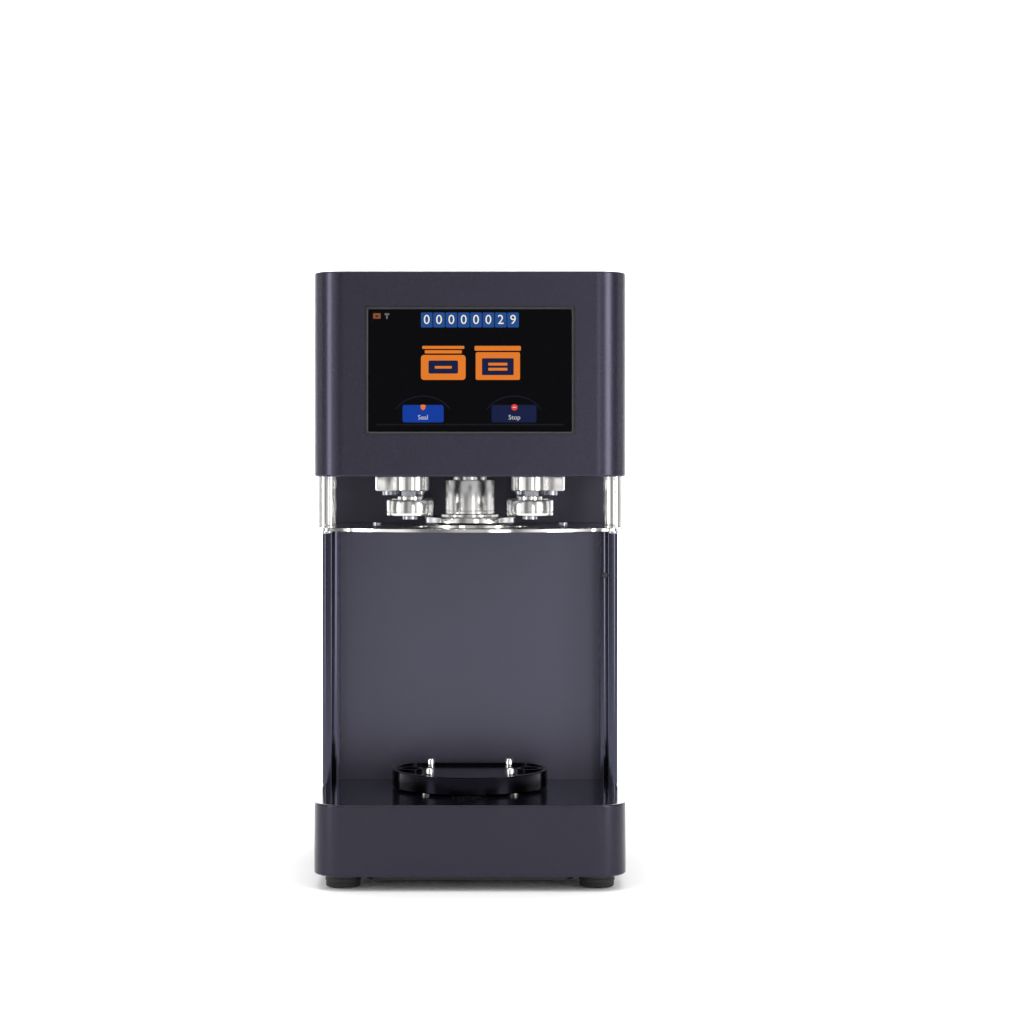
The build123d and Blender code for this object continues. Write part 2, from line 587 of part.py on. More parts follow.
MOTOR_Y = INNER_BACK - MOTOR_GAP - MOTOR_RADIUS
PULLEY_TOP = DRIVE_LOW - PULLEY_DROP
PULLEY_LOW = PULLEY_TOP - PULLEY_HEIGHT
drive_half = HALF_WIDTH - DRIVE_INSET_X
drive_front = FRONT + DRIVE_INSET_FRONT
drive_back = BODY_BACK - DRIVE_INSET_BACK
STANDOFF_SPOTS = [
    (x, y)
    for x in (-drive_half + STANDOFF_INSET, drive_half - STANDOFF_INSET)
    for y in (drive_front + STANDOFF_INSET, drive_back - REAR_STANDOFF_INSET)
]

with BuildPart() as drive_plate:
    add(brick((-drive_half, drive_front, DRIVE_LOW), (drive_half, drive_back, DRIVE_TOP)))
    fillet(drive_plate.edges().filter_by(Axis.Z), STANDOFF_INSET)
    boss_gap = SHELL_BOSS_RADIUS + TURRET_GAP
    add(discs(boss_gap, DRIVE_LOW, DRIVE_PLATE_THICK, BOSS_SPOTS), mode=Mode.SUBTRACT)
    add(discs(SPINDLE_RADIUS + RUN, DRIVE_LOW, DRIVE_PLATE_THICK), mode=Mode.SUBTRACT)
    add(discs(MOTOR_PILOT_RADIUS + RUN, DRIVE_LOW, DRIVE_PLATE_THICK, [(0, MOTOR_Y)]), mode=Mode.SUBTRACT)
drive_plate.part.label = "drive_plate"
export_step(drive_plate.part, "parts/drive_plate.step")

with BuildPart() as plate_standoffs:
    add(discs(STANDOFF_RADIUS, DECK_TOP, DRIVE_PLATE_RISE, STANDOFF_SPOTS))
plate_standoffs.part.label = "plate_standoffs"
export_step(plate_standoffs.part, "parts/plate_standoffs.step")

with BuildPart() as spindle:
    add(discs(SPINDLE_RADIUS, CHUCK_TOP, DRIVE_TOP - CHUCK_TOP))
    add(discs(COLLAR_RADIUS, HEAD_LOW, TURRET_GAP))
    add(discs(SPINDLE_CLAMP_RADIUS, DRIVE_TOP, SPINDLE_CLAMP))
    add(discs(CHUCK_BOLT_RADIUS + RUN, CHUCK_TOP, CHUCK_BOLT_LENGTH), mode=Mode.SUBTRACT)
    fillet(spindle.edges().group_by(Axis.Z)[-1], EDGE)
spindle.part.label = "spindle"
export_step(spindle.part, "parts/spindle.step")

with BuildPart() as spindle_sleeve:
    add(discs(SLEEVE_RADIUS, CHUCK_TOP, SLEEVE_TOP - CHUCK_TOP, bore=SPINDLE_RADIUS + RUN))
    chamfer(spindle_sleeve.edges().group_by(Axis.Z)[-1].group_by(SortBy.RADIUS)[-1], EDGE / 2)
spindle_sleeve.part.label = "spindle_sleeve"
export_step(spindle_sleeve.part, "parts/spindle_sleeve.step")

with BuildPart() as seaming_chuck:
    add(discs(CHUCK_RADIUS, CHUCK_LOW, CHUCK_THICK))
    chamfer(seaming_chuck.edges().group_by(Axis.Z)[0], EDGE)
    fillet(seaming_chuck.edges().group_by(Axis.Z)[-1], EDGE / 2)
    add(discs(CHUCK_FLANGE_RADIUS, CHUCK_LOW + CHUCK_THICK, CHUCK_FLANGE))
    add(discs(CHUCK_BOLT_RADIUS + RUN, CHUCK_LOW, CHUCK_TOP - CHUCK_LOW), mode=Mode.SUBTRACT)
    add(discs(CHUCK_BOLT_HEAD_RADIUS + SLIP, CHUCK_LOW, CHUCK_BOLT_HEAD), mode=Mode.SUBTRACT)
seaming_chuck.part.label = "seaming_chuck"
export_step(seaming_chuck.part, "parts/seaming_chuck.step")

with BuildPart() as chuck_bolt:
    bolt_seat = CHUCK_LOW + CHUCK_BOLT_HEAD
    bolt_shank = CHUCK_TOP + CHUCK_BOLT_LENGTH - bolt_seat - SLIP
    bolt_head = CHUCK_BOLT_HEAD - SLIP
    bolt_spot = [(0, AXIS_Y)]
    add(screws(bolt_spot, bolt_seat, CHUCK_BOLT_RADIUS, bolt_shank, CHUCK_BOLT_HEAD_RADIUS, bolt_head))
chuck_bolt.part.label = "chuck_bolt"
export_step(chuck_bolt.part, "parts/chuck_bolt.step")

with BuildPart() as drive_motor:
    add(discs(MOTOR_RADIUS, DRIVE_TOP, MOTOR_HEIGHT, [(0, MOTOR_Y)]))
    fillet(drive_motor.edges().group_by(Axis.Z)[-1], MOTOR_ROUND)
    add(discs(MOTOR_PILOT_RADIUS, DRIVE_LOW, DRIVE_PLATE_THICK, [(0, MOTOR_Y)]))
    add(discs(MOTOR_SHAFT_RADIUS + RUN, DRIVE_LOW, SHAFT_DEPTH, [(0, MOTOR_Y)]), mode=Mode.SUBTRACT)
drive_motor.part.label = "drive_motor"
export_step(drive_motor.part, "parts/drive_motor.step")


def belt(low, height, spot_a, radius_a, spot_b, radius_b):
    """A closed belt round two pulleys, a small gap off each of them."""
    with BuildPart() as loop:
        with BuildSketch(Plane.XY.offset(low)):
            with Locations(spot_a):
                Circle(radius_a + BELT_GAP + BELT_THICK)
            with Locations(spot_b):
                Circle(radius_b + BELT_GAP + BELT_THICK)
            make_hull()
        extrude(amount=height)
        with BuildSketch(Plane.XY.offset(low)):
            with Locations(spot_a):
                Circle(radius_a + BELT_GAP)
            with Locations(spot_b):
                Circle(radius_b + BELT_GAP)
            make_hull()
        extrude(amount=height, mode=Mode.SUBTRACT)
    return loop.part


def pulley(spot, radius, low, height, bore):
    """A belt pulley with a rim above and below the belt's track."""
    with BuildPart() as wheel:
        add(discs(radius, low, height, [spot]))
        add(discs(radius + PULLEY_RIM, low, PULLEY_RIM_THICK, [spot]))
        add(discs(radius + PULLEY_RIM, low + height - PULLEY_RIM_THICK, PULLEY_RIM_THICK, [spot]))
        if bore:
            add(discs(bore, low, height, [spot]), mode=Mode.SUBTRACT)
    return wheel.part


belt_low = PULLEY_LOW + PULLEY_RIM_THICK + BELT_GAP
belt_height = PULLEY_HEIGHT - 2 * (PULLEY_RIM_THICK + BELT_GAP)
turret_spot = (0, AXIS_Y)
motor_spot = (0, MOTOR_Y)
with BuildPart() as drive_belt:
    add(belt(belt_low, belt_height, turret_spot, TURRET_PULLEY_RADIUS, motor_spot, MOTOR_PULLEY_RADIUS))
drive_belt.part.label = "drive_belt"
export_step(drive_belt.part, "parts/drive_belt.step")

with BuildPart() as motor_pulley:
    add(pulley(motor_spot, MOTOR_PULLEY_RADIUS, PULLEY_LOW, PULLEY_HEIGHT, 0))
    shaft_length = PULLEY_HEIGHT + PULLEY_DROP + SHAFT_DEPTH - SEAT
    add(discs(MOTOR_SHAFT_RADIUS, PULLEY_LOW, shaft_length, [motor_spot]))
motor_pulley.part.label = "motor_pulley"
export_step(motor_pulley.part, "parts/motor_pulley.step")

# ---- Turret: plate with hub, bearings, pulley, arm pivots, arms and seaming rollers
TURRET_RISE = 1.2
TURRET_THICK = 12.0
HUB_RADIUS = 24.0
BEARING_RADIUS = 18.0
BEARING_HEIGHT = 8.0
BEARING_INSET = 0.6
LIGHTENING_RADIUS = 9.0
LIGHTENING_PCD = 58.0
ARM_GAP = 1.0
ARM_THICK = 12.3
ROLLER_OFFSET = 49.0
PIVOT_OFFSET_X = 66.0
PIVOT_OFFSET_Y = 32.0
ARM_END_RADIUS = 15.0
ARM_PIVOT_END_RADIUS = 12.0
PIVOT_RADIUS = 5.0
PIVOT_WASHER_RADIUS = 8.0
PIVOT_HEAD_RADIUS = 6.0
PIVOT_HEAD = 3.4
ROLLER_PIN_RADIUS = 4.0
ROLLER_RADIUS = 19.0
ROLLER_HEIGHT = 13.0
ROLLER_HUB_RADIUS = 10.0
ROLLER_HUB = 3.0
ROLLER_GROOVE = 1.8
GROOVE_LIP_SHARE = 0.34
GROOVE_FLOOR_SHARE = 0.42
NUT_RADIUS = 7.0
NUT_HEIGHT = 3.9
LOCK_SCREW_RADIUS = 2.6
LOCK_SCREW_SHIFT = 8.5
TURRET_LOW = HEAD_LOW + TURRET_RISE
TURRET_TOP = TURRET_LOW + TURRET_THICK
ARM_TOP = TURRET_LOW - ARM_GAP
ARM_LOW = ARM_TOP - ARM_THICK
HUB_TOP = DRIVE_LOW - PULLEY_DROP + TURRET_RISE
ROLLER_HUB_TOP = ARM_LOW - NUT_HEIGHT - SEAT
ROLLER_TOP = ROLLER_HUB_TOP - ROLLER_HUB
ROLLER_LOW = ROLLER_TOP - ROLLER_HEIGHT
ARM_SIDES = [(-1, -1), (1, -1), (1, 1), (-1, 1)]
PIVOT_SPOTS = [(sx * PIVOT_OFFSET_X, AXIS_Y + sy * PIVOT_OFFSET_Y) for sx, sy in ARM_SIDES]
ROLLER_SPOTS = [(sx * ROLLER_OFFSET, AXIS_Y + sy * ROLLER_OFFSET) for sx, sy in ARM_SIDES]

with BuildPart() as turret_plate:
    add(discs(TURRET_RADIUS, TURRET_LOW, TURRET_THICK))
    chamfer(turret_plate.edges(), EDGE / 2)
    add(discs(HUB_RADIUS, TURRET_TOP, HUB_TOP - TURRET_TOP))
    add(discs(BEARING_RADIUS + RUN, TURRET_LOW, HUB_TOP - TURRET_LOW), mode=Mode.SUBTRACT)
    add(discs(PIVOT_RADIUS + RUN, TURRET_LOW, TURRET_THICK, PIVOT_SPOTS), mode=Mode.SUBTRACT)
    with BuildSketch(Plane.XY.offset(TURRET_LOW)):
        with Locations((0, AXIS_Y)):
            with PolarLocations(LIGHTENING_PCD, 2, start_angle=90):
                Circle(LIGHTENING_RADIUS)
    extrude(amount=TURRET_THICK, mode=Mode.SUBTRACT)
turret_plate.part.label = "turret_plate"
export_step(turret_plate.part, "parts/turret_plate.step")

with BuildPart() as turret_bearings:
    add(discs(BEARING_RADIUS, TURRET_LOW + BEARING_INSET, BEARING_HEIGHT, bore=SPINDLE_RADIUS + RUN))
    upper_bearing = HUB_TOP - BEARING_INSET - BEARING_HEIGHT
    add(discs(BEARING_RADIUS, upper_bearing, BEARING_HEIGHT, bore=SPINDLE_RADIUS + RUN))
turret_bearings.part.label = "turret_bearings"
export_step(turret_bearings.part, "parts/turret_bearings.step")

with BuildPart() as turret_pulley:
    add(pulley(turret_spot, TURRET_PULLEY_RADIUS, PULLEY_LOW, PULLEY_HEIGHT, HUB_RADIUS + RUN))
turret_pulley.part.label = "turret_pulley"
export_step(turret_pulley.part, "parts/turret_pulley.step")

with BuildPart() as pivot_pins:
    pin_low = ARM_LOW - SEAT
    add(discs(PIVOT_RADIUS, pin_low, TURRET_TOP - pin_low, PIVOT_SPOTS))
    add(discs(PIVOT_WASHER_RADIUS, ARM_TOP + SEAT, ARM_GAP - SEAT, PIVOT_SPOTS))
    add(discs(PIVOT_HEAD_RADIUS, pin_low - PIVOT_HEAD, PIVOT_HEAD, PIVOT_SPOTS))
    chamfer(pivot_pins.edges().group_by(Axis.Z)[0], SEAT)
pivot_pins.part.label = "pivot_pins"
export_step(pivot_pins.part, "parts/pivot_pins.step")

for number, (sx, sy) in enumerate(ARM_SIDES, start=1):
    roller_x, roller_y = ROLLER_SPOTS[number - 1]
    roller_spot = [(roller_x, roller_y)]
    pivot_spot = [PIVOT_SPOTS[number - 1]]
    lock_spot = [(roller_x - sx * LOCK_SCREW_SHIFT, roller_y)]
    with BuildPart() as roller_arm:
        with BuildSketch(Plane.XY.offset(ARM_LOW)):
            with Locations(*roller_spot):
                Circle(ARM_END_RADIUS)
            with Locations(*pivot_spot):
                Circle(ARM_PIVOT_END_RADIUS)
            make_hull()
        extrude(amount=ARM_THICK)
        chamfer(roller_arm.faces().filter_by(Axis.Z).edges(), EDGE / 2)
        add(discs(PIVOT_RADIUS + RUN, ARM_LOW, ARM_THICK, pivot_spot), mode=Mode.SUBTRACT)
        add(discs(ROLLER_PIN_RADIUS + RUN, ARM_LOW, ARM_THICK, roller_spot), mode=Mode.SUBTRACT)
        add(discs(SCREW_RADIUS + RUN, ARM_LOW, ARM_THICK / 2, lock_spot), mode=Mode.SUBTRACT)
    roller_arm.part.label = f"roller_arm_{number}"
    export_step(roller_arm.part, f"parts/roller_arm_{number}.step")

    with BuildPart() as roller_pin:
        head_top = ROLLER_LOW - SEAT
        add(discs(ROLLER_PIN_RADIUS, head_top, ARM_TOP - head_top, roller_spot))
        add(discs(PIVOT_HEAD_RADIUS, head_top - CHUCK_FLANGE, CHUCK_FLANGE, roller_spot))
        with BuildSketch(Plane.XY.offset(ARM_LOW)):
            with Locations(*roller_spot):
                RegularPolygon(NUT_RADIUS, 6)
        extrude(amount=-NUT_HEIGHT)
        add(screws(lock_spot, ARM_LOW, SCREW_RADIUS, ARM_THICK / 2, LOCK_SCREW_RADIUS, NUT_HEIGHT))
    roller_pin.part.label = f"roller_pin_{number}"
    export_step(roller_pin.part, f"parts/roller_pin_{number}.step")

    with BuildPart() as seaming_roller:
        with BuildSketch(Plane.XZ):
            with BuildLine():
                bore = ROLLER_PIN_RADIUS + RUN
                groove = ROLLER_RADIUS - ROLLER_GROOVE
                lip_low = ROLLER_LOW + GROOVE_LIP_SHARE * ROLLER_HEIGHT
                floor_low = ROLLER_LOW + GROOVE_FLOOR_SHARE * ROLLER_HEIGHT
                floor_high = ROLLER_TOP - GROOVE_FLOOR_SHARE * ROLLER_HEIGHT
                lip_high = ROLLER_TOP - GROOVE_LIP_SHARE * ROLLER_HEIGHT
                Polyline(
                    (bore, ROLLER_LOW),
                    (ROLLER_RADIUS - EDGE, ROLLER_LOW),
                    (ROLLER_RADIUS, ROLLER_LOW + EDGE),
                    (ROLLER_RADIUS, lip_low),
                    (groove, floor_low),
                    (groove, floor_high),
                    (ROLLER_RADIUS, lip_high),
                    (ROLLER_RADIUS, ROLLER_TOP - EDGE / 2),
                    (ROLLER_RADIUS - EDGE / 2, ROLLER_TOP),
                    (ROLLER_HUB_RADIUS, ROLLER_TOP),
                    (ROLLER_HUB_RADIUS, ROLLER_HUB_TOP),
                    (bore, ROLLER_HUB_TOP),
                    close=True,
                )
            make_face()
        revolve(axis=Axis.Z)
    placed_roller = Pos(roller_x, roller_y, 0) * seaming_roller.part
    placed_roller.label = f"seaming_roller_{number}"
    export_step(placed_roller, f"parts/seaming_roller_{number}.step")

# ---- Jar tray and the lift that raises it
TRAY_RADIUS = 65.0
TRAY_THICK = 14.5
TRAY_GAP = 1.6
TRAY_FLAT = 41.5
TRAY_CORNER = 20.0
TRAY_RIM = 4.0
TRAY_RECESS = 2.5
EAR_RING_OFFSET = 50.0
EAR_RING_RADIUS = 10.5
EAR_RING_INNER = 8.0
EAR_POCKET = 3.0
JAR_PIN_OFFSET = 33.2
JAR_PIN_RADIUS = 3.3
JAR_PIN_HEIGHT = 7.6
JAR_PIN_SHANK = 6.0
JAR_PIN_SEAT = 0.6
SPIGOT_RADIUS = 7.0
SPIGOT = 5.0
ROD_SPIGOT_RADIUS = 3.0
SCREW_PITCH_RADIUS = 6.0
SCREW_LOW = 7.4
SCREW_TOP = 62.0
LIFT_PULLEY_LOW = 11.6
LIFT_PULLEY_HEIGHT = 6.6
LIFT_PULLEY_RADIUS = 22.0
LIFT_MOTOR_PULLEY_RADIUS = 11.0
LIFT_MOTOR_X = 46.0
LIFT_MOTOR_RADIUS = 14.0
LIFT_MOTOR_LOW = 24.0
LIFT_SHAFT_RADIUS = 3.0
LIFT_SHAFT_DEPTH = 10.0
NUT_DEPTH = 12.0
THRUST_RADIUS = 12.0
THRUST_HEIGHT = 4.0
TRAY_LOW = BASE_TOP + TRAY_GAP
TRAY_TOP = TRAY_LOW + TRAY_THICK
PAN_FLOOR = PAN_LOW + COVER_THICK
BASE_CEILING = BASE_TOP - WALL
JAR_PIN_SPOTS = [(sx * JAR_PIN_OFFSET, AXIS_Y + sy * JAR_PIN_OFFSET) for sx, sy in ARM_SIDES]
EAR_SPOTS = [(-EAR_RING_OFFSET, AXIS_Y), (EAR_RING_OFFSET, AXIS_Y)]


def tray_outline(inset):
    """The tray seen from above: a round plate with a flat at the back, drawn inset from its edge."""
    with BuildSketch(Plane.XY) as outline:
        with Locations((0, AXIS_Y)):
            Circle(TRAY_RADIUS)
        with Locations((0, AXIS_Y + TRAY_FLAT)):
            Rectangle(2 * TRAY_RADIUS, TRAY_RADIUS, align=(Align.CENTER, Align.MIN), mode=Mode.SUBTRACT)
        fillet(outline.vertices(), TRAY_CORNER)
        if inset:
            offset(amount=-inset, mode=Mode.REPLACE)
    return outline.sketch


with BuildPart() as jar_tray:
    add(Pos(0, 0, TRAY_LOW) * tray_outline(0))
    extrude(amount=TRAY_THICK)
    fillet(jar_tray.faces().filter_by(Axis.Z).edges(), EDGE / 2)
    floor = TRAY_TOP - TRAY_RECESS
    recess = extrude(Pos(0, 0, floor) * tray_outline(TRAY_RIM), TRAY_RECESS, mode=Mode.PRIVATE)
    add(recess, mode=Mode.SUBTRACT)
    add(discs(EAR_RING_RADIUS, floor, TRAY_RECESS, EAR_SPOTS))
    add(discs(EAR_RING_INNER, floor - EAR_POCKET, TRAY_RECESS + EAR_POCKET, EAR_SPOTS), mode=Mode.SUBTRACT)
    add(discs(SCREW_RADIUS + RUN, floor - JAR_PIN_SHANK, JAR_PIN_SHANK, JAR_PIN_SPOTS), mode=Mode.SUBTRACT)
    pin_seat = floor - JAR_PIN_SEAT
    add(discs(JAR_PIN_RADIUS + SLIP, pin_seat, JAR_PIN_SEAT, JAR_PIN_SPOTS), mode=Mode.SUBTRACT)
    add(discs(SPIGOT_RADIUS + RUN, TRAY_LOW, SPIGOT + SLIP), mode=Mode.SUBTRACT)
    add(discs(ROD_SPIGOT_RADIUS + RUN, TRAY_LOW, SPIGOT + SLIP, ROD_SPOTS), mode=Mode.SUBTRACT)
jar_tray.part.label = "jar_tray"
export_step(jar_tray.part, "parts/jar_tray.step")

with BuildPart() as tray_pins:
    pin_shank = JAR_PIN_SHANK - JAR_PIN_SEAT - SLIP
    pin_head = JAR_PIN_HEIGHT + JAR_PIN_SEAT
    add(screws(JAR_PIN_SPOTS, pin_seat, SCREW_RADIUS, pin_shank, JAR_PIN_RADIUS, pin_head, up=False))
tray_pins.part.label = "tray_pins"
export_step(tray_pins.part, "parts/tray_pins.step")

with BuildPart() as lift_plunger:
    add(discs(PLUNGER_RADIUS, PLUNGER_LOW, TRAY_LOW - PLUNGER_LOW))
    add(discs(SPIGOT_RADIUS, TRAY_LOW, SPIGOT))
    add(discs(SCREW_PITCH_RADIUS + RUN, PLUNGER_LOW, NUT_DEPTH), mode=Mode.SUBTRACT)
    bore_low = PLUNGER_LOW + NUT_DEPTH
    add(discs(PLUNGER_BORE, bore_low, BASE_CEILING - bore_low), mode=Mode.SUBTRACT)
lift_plunger.part.label = "lift_plunger"
export_step(lift_plunger.part, "parts/lift_plunger.step")

with BuildPart() as lift_rods:
    add(discs(ROD_RADIUS, ROD_LOW, TRAY_LOW - ROD_LOW, ROD_SPOTS))
    add(discs(ROD_SPIGOT_RADIUS, TRAY_LOW, SPIGOT, ROD_SPOTS))
lift_rods.part.label = "lift_rods"
export_step(lift_rods.part, "parts/lift_rods.step")

with BuildPart() as lift_bushes:
    add(discs(BUSH_RADIUS, BASE_TOP - BUSH_LENGTH, BUSH_LENGTH))
    flange_z = BASE_CEILING - BUSH_FLANGE_THICK
    add(discs(BUSH_RADIUS + BUSH_FLANGE, flange_z, BUSH_FLANGE_THICK))
    add(discs(PLUNGER_RADIUS + RUN, BASE_TOP - BUSH_LENGTH, BUSH_LENGTH), mode=Mode.SUBTRACT)
    add(discs(ROD_BUSH_RADIUS, BASE_TOP - ROD_BUSH_LENGTH, ROD_BUSH_LENGTH, ROD_SPOTS))
    add(discs(ROD_BUSH_RADIUS + BUSH_FLANGE / 2, flange_z, BUSH_FLANGE_THICK, ROD_SPOTS))
    add(discs(ROD_RADIUS + RUN, BASE_TOP - ROD_BUSH_LENGTH, ROD_BUSH_LENGTH, ROD_SPOTS), mode=Mode.SUBTRACT)
lift_bushes.part.label = "lift_bushes"
export_step(lift_bushes.part, "parts/lift_bushes.step")

lift_motor_spot = (LIFT_MOTOR_X, AXIS_Y)
with BuildPart() as lift_screw:
    add(discs(SCREW_PITCH_RADIUS, SCREW_LOW, SCREW_TOP - SCREW_LOW))
    chamfer(lift_screw.edges().group_by(Axis.Z)[-1], EDGE / 2)
    add(pulley(turret_spot, LIFT_PULLEY_RADIUS, LIFT_PULLEY_LOW, LIFT_PULLEY_HEIGHT, 0))
lift_screw.part.label = "lift_screw"
export_step(lift_screw.part, "parts/lift_screw.step")

with BuildPart() as screw_bearing:
    add(discs(THRUST_RADIUS, PAN_FLOOR, THRUST_HEIGHT))
    add(discs(SCREW_PITCH_RADIUS + RUN, SCREW_LOW - RUN, THRUST_HEIGHT), mode=Mode.SUBTRACT)
screw_bearing.part.label = "screw_bearing"
export_step(screw_bearing.part, "parts/screw_bearing.step")

with BuildPart() as lift_motor:
    add(discs(LIFT_MOTOR_RADIUS, LIFT_MOTOR_LOW, BASE_CEILING - LIFT_MOTOR_LOW, [lift_motor_spot]))
    fillet(lift_motor.edges().group_by(Axis.Z)[0], EDGE / 2)
    motor_bore = LIFT_SHAFT_RADIUS + RUN
    add(discs(motor_bore, LIFT_MOTOR_LOW, LIFT_SHAFT_DEPTH, [lift_motor_spot]), mode=Mode.SUBTRACT)
lift_motor.part.label = "lift_motor"
export_step(lift_motor.part, "parts/lift_motor.step")

with BuildPart() as lift_motor_pulley:
    small_radius = LIFT_MOTOR_PULLEY_RADIUS
    add(pulley(lift_motor_spot, small_radius, LIFT_PULLEY_LOW, LIFT_PULLEY_HEIGHT, 0))
    shaft_length = LIFT_MOTOR_LOW + LIFT_SHAFT_DEPTH - SEAT - LIFT_PULLEY_LOW
    add(discs(LIFT_SHAFT_RADIUS, LIFT_PULLEY_LOW, shaft_length, [lift_motor_spot]))
lift_motor_pulley.part.label = "lift_motor_pulley"
export_step(lift_motor_pulley.part, "parts/lift_motor_pulley.step")

with BuildPart() as lift_belt:
    track_low = LIFT_PULLEY_LOW + PULLEY_RIM_THICK + BELT_GAP
    track = LIFT_PULLEY_HEIGHT - 2 * (PULLEY_RIM_THICK + BELT_GAP)
    add(belt(track_low, track, turret_spot, LIFT_PULLEY_RADIUS, lift_motor_spot, small_radius))
lift_belt.part.label = "lift_belt"
export_step(lift_belt.part, "parts/lift_belt.step")

# ---- Power: supply, inlet with rocker, and the fan behind the rear cover
SUPPLY_WIDTH = 92.0
SUPPLY_DEPTH = 78.0
SUPPLY_HEIGHT = 40.0
SUPPLY_INSET = 14.0
INLET_DEPTH = 24.0
SOCKET_WIDTH = 24.0
SOCKET_HEIGHT = 16.4
SOCKET_DEPTH = 18.0
SOCKET_SHIFT = 11.0
BLADE_LENGTH = 11.0
BLADE_PITCH = 7.0
ROCKER_SHIFT = 15.5
ROCKER_WIDTH = 12.0
ROCKER_HEIGHT = 17.0
ROCKER_PLAY = 1.0
ROCKER_POCKET = 12.0
ROCKER_PIVOT_BACK = 6.0
ROCKER_END_RISE = 4.7
ROCKER_MIDDLE_RISE = 3.0
ROCKER_BODY = 5.0
ROCKER_PIN = 1.5
ROCKER_PIN_LENGTH = 2.0
ROCKER_TILT = 8.0
FAN_SIZE = 60.0
FAN_CORNER = 3.1
FAN_DEPTH = 15.0
FAN_BORE = 28.5
FAN_TIP = 27.0
FAN_CHORD = 12.0
FAN_PITCH = 35.0
FAN_BLADE_THICK = 1.2
FAN_MARGIN = 2.0
FAN_HUB = 11.0
FAN_PIN = 2.5
FAN_BLADES = 7
FAN_SPOKE = 4.0
FAN_BACK_THICK = 3.0

with BuildPart() as power_supply:
    supply_low = (-HALF_WIDTH + SUPPLY_INSET, PANEL_FRONT + SUPPLY_INSET, BASE_TOP)
    supply_high = (supply_low[0] + SUPPLY_WIDTH, supply_low[1] + SUPPLY_DEPTH, BASE_TOP + SUPPLY_HEIGHT)
    add(brick(supply_low, supply_high))
    fillet(power_supply.edges().group_by(Axis.Z)[-1], EDGE / 2)
power_supply.part.label = "power_supply"
export_step(power_supply.part, "parts/power_supply.step")

socket_x = INLET_X - SOCKET_SHIFT
rocker_x = INLET_X + ROCKER_SHIFT
rocker_y = BODY_BACK + INLET_PROUD - ROCKER_PIVOT_BACK
with BuildPart() as power_inlet:
    with BuildSketch(Plane.XZ.offset(-BODY_BACK)):
        with Locations((INLET_X, INLET_Z)):
            RectangleRounded(INLET_FLANGE_WIDTH, INLET_FLANGE_HEIGHT, EDGE)
    extrude(amount=-INLET_PROUD)
    with BuildSketch(Plane.XZ.offset(-BODY_BACK)):
        with Locations((INLET_X, INLET_Z)):
            Rectangle(INLET_BODY_WIDTH, INLET_BODY_HEIGHT)
    extrude(amount=INLET_DEPTH)
    with BuildSketch(Plane.XZ.offset(-BODY_BACK - INLET_PROUD)):
        with Locations((socket_x, INLET_Z)):
            Rectangle(SOCKET_WIDTH, SOCKET_HEIGHT)
        chamfer(vertices().group_by(Axis.Y)[-1], SOCKET_HEIGHT / 4)
    extrude(amount=SOCKET_DEPTH, mode=Mode.SUBTRACT)
    with BuildSketch(Plane.XZ.offset(-BODY_BACK - INLET_PROUD + SOCKET_DEPTH)):
        blade_x = (socket_x - BLADE_PITCH, socket_x, socket_x + BLADE_PITCH)
        with Locations(*[(x, INLET_Z) for x in blade_x]):
            Rectangle(PANEL_THICK, 2 * PANEL_THICK)
    extrude(amount=-BLADE_LENGTH)
    with BuildSketch(Plane.XZ.offset(-BODY_BACK - INLET_PROUD)):
        with Locations((rocker_x, INLET_Z)):
            Rectangle(ROCKER_WIDTH + 2 * SEAT, ROCKER_HEIGHT + 2 * ROCKER_PLAY)
    extrude(amount=ROCKER_POCKET, mode=Mode.SUBTRACT)
    with Locations((rocker_x, rocker_y, INLET_Z)):
        pin_span = ROCKER_WIDTH + 2 * (SEAT + ROCKER_PIN_LENGTH)
        Cylinder(ROCKER_PIN + RUN, pin_span, rotation=(0, 90, 0), mode=Mode.SUBTRACT)
power_inlet.part.label = "power_inlet"
export_step(power_inlet.part, "parts/power_inlet.step")

tilt = math.radians(ROCKER_TILT)
rocker_tilted = (0, math.cos(tilt), math.sin(tilt))
rocker_plane = Plane((rocker_x, rocker_y, INLET_Z), x_dir=rocker_tilted, z_dir=(1, 0, 0))
with BuildPart() as power_rocker:
    with BuildSketch(rocker_plane):
        with BuildLine():
            half_height = ROCKER_HEIGHT / 2
            Polyline(
                (-ROCKER_BODY / 2, -ROCKER_BODY),
                (ROCKER_END_RISE, -half_height),
                (ROCKER_MIDDLE_RISE, 0),
                (ROCKER_END_RISE, half_height),
                (-ROCKER_BODY / 2, ROCKER_BODY),
                close=True,
            )
        make_face()
    extrude(amount=ROCKER_WIDTH / 2, both=True)
    with Locations((rocker_x, rocker_y, INLET_Z)):
        Cylinder(ROCKER_PIN, ROCKER_WIDTH + 2 * ROCKER_PIN_LENGTH, rotation=(0, 90, 0))
power_rocker.part.label = "power_rocker"
export_step(power_rocker.part, "parts/power_rocker.step")

fan_plane = Plane.XZ.offset(-INNER_BACK)
fan_spot = (0, FAN_Z)
with BuildPart() as fan_housing:
    with BuildSketch(fan_plane):
        with Locations(fan_spot):
            RectangleRounded(FAN_SIZE, FAN_SIZE, FAN_CORNER)
            Circle(FAN_BORE, mode=Mode.SUBTRACT)
    extrude(amount=FAN_DEPTH)
    with BuildSketch(fan_plane.offset(FAN_DEPTH)):
        with Locations(fan_spot):
            Circle(FAN_HUB)
            Rectangle(2 * FAN_BORE + FAN_MARGIN, FAN_SPOKE)
            Rectangle(FAN_SPOKE, 2 * FAN_BORE + FAN_MARGIN)
    extrude(amount=-FAN_BACK_THICK)
    with BuildSketch(fan_plane.offset(FAN_MARGIN)):
        with Locations(fan_spot):
            Circle(FAN_PIN)
    extrude(amount=FAN_DEPTH - FAN_MARGIN)
fan_housing.part.label = "fan_housing"
export_step(fan_housing.part, "parts/fan_housing.step")

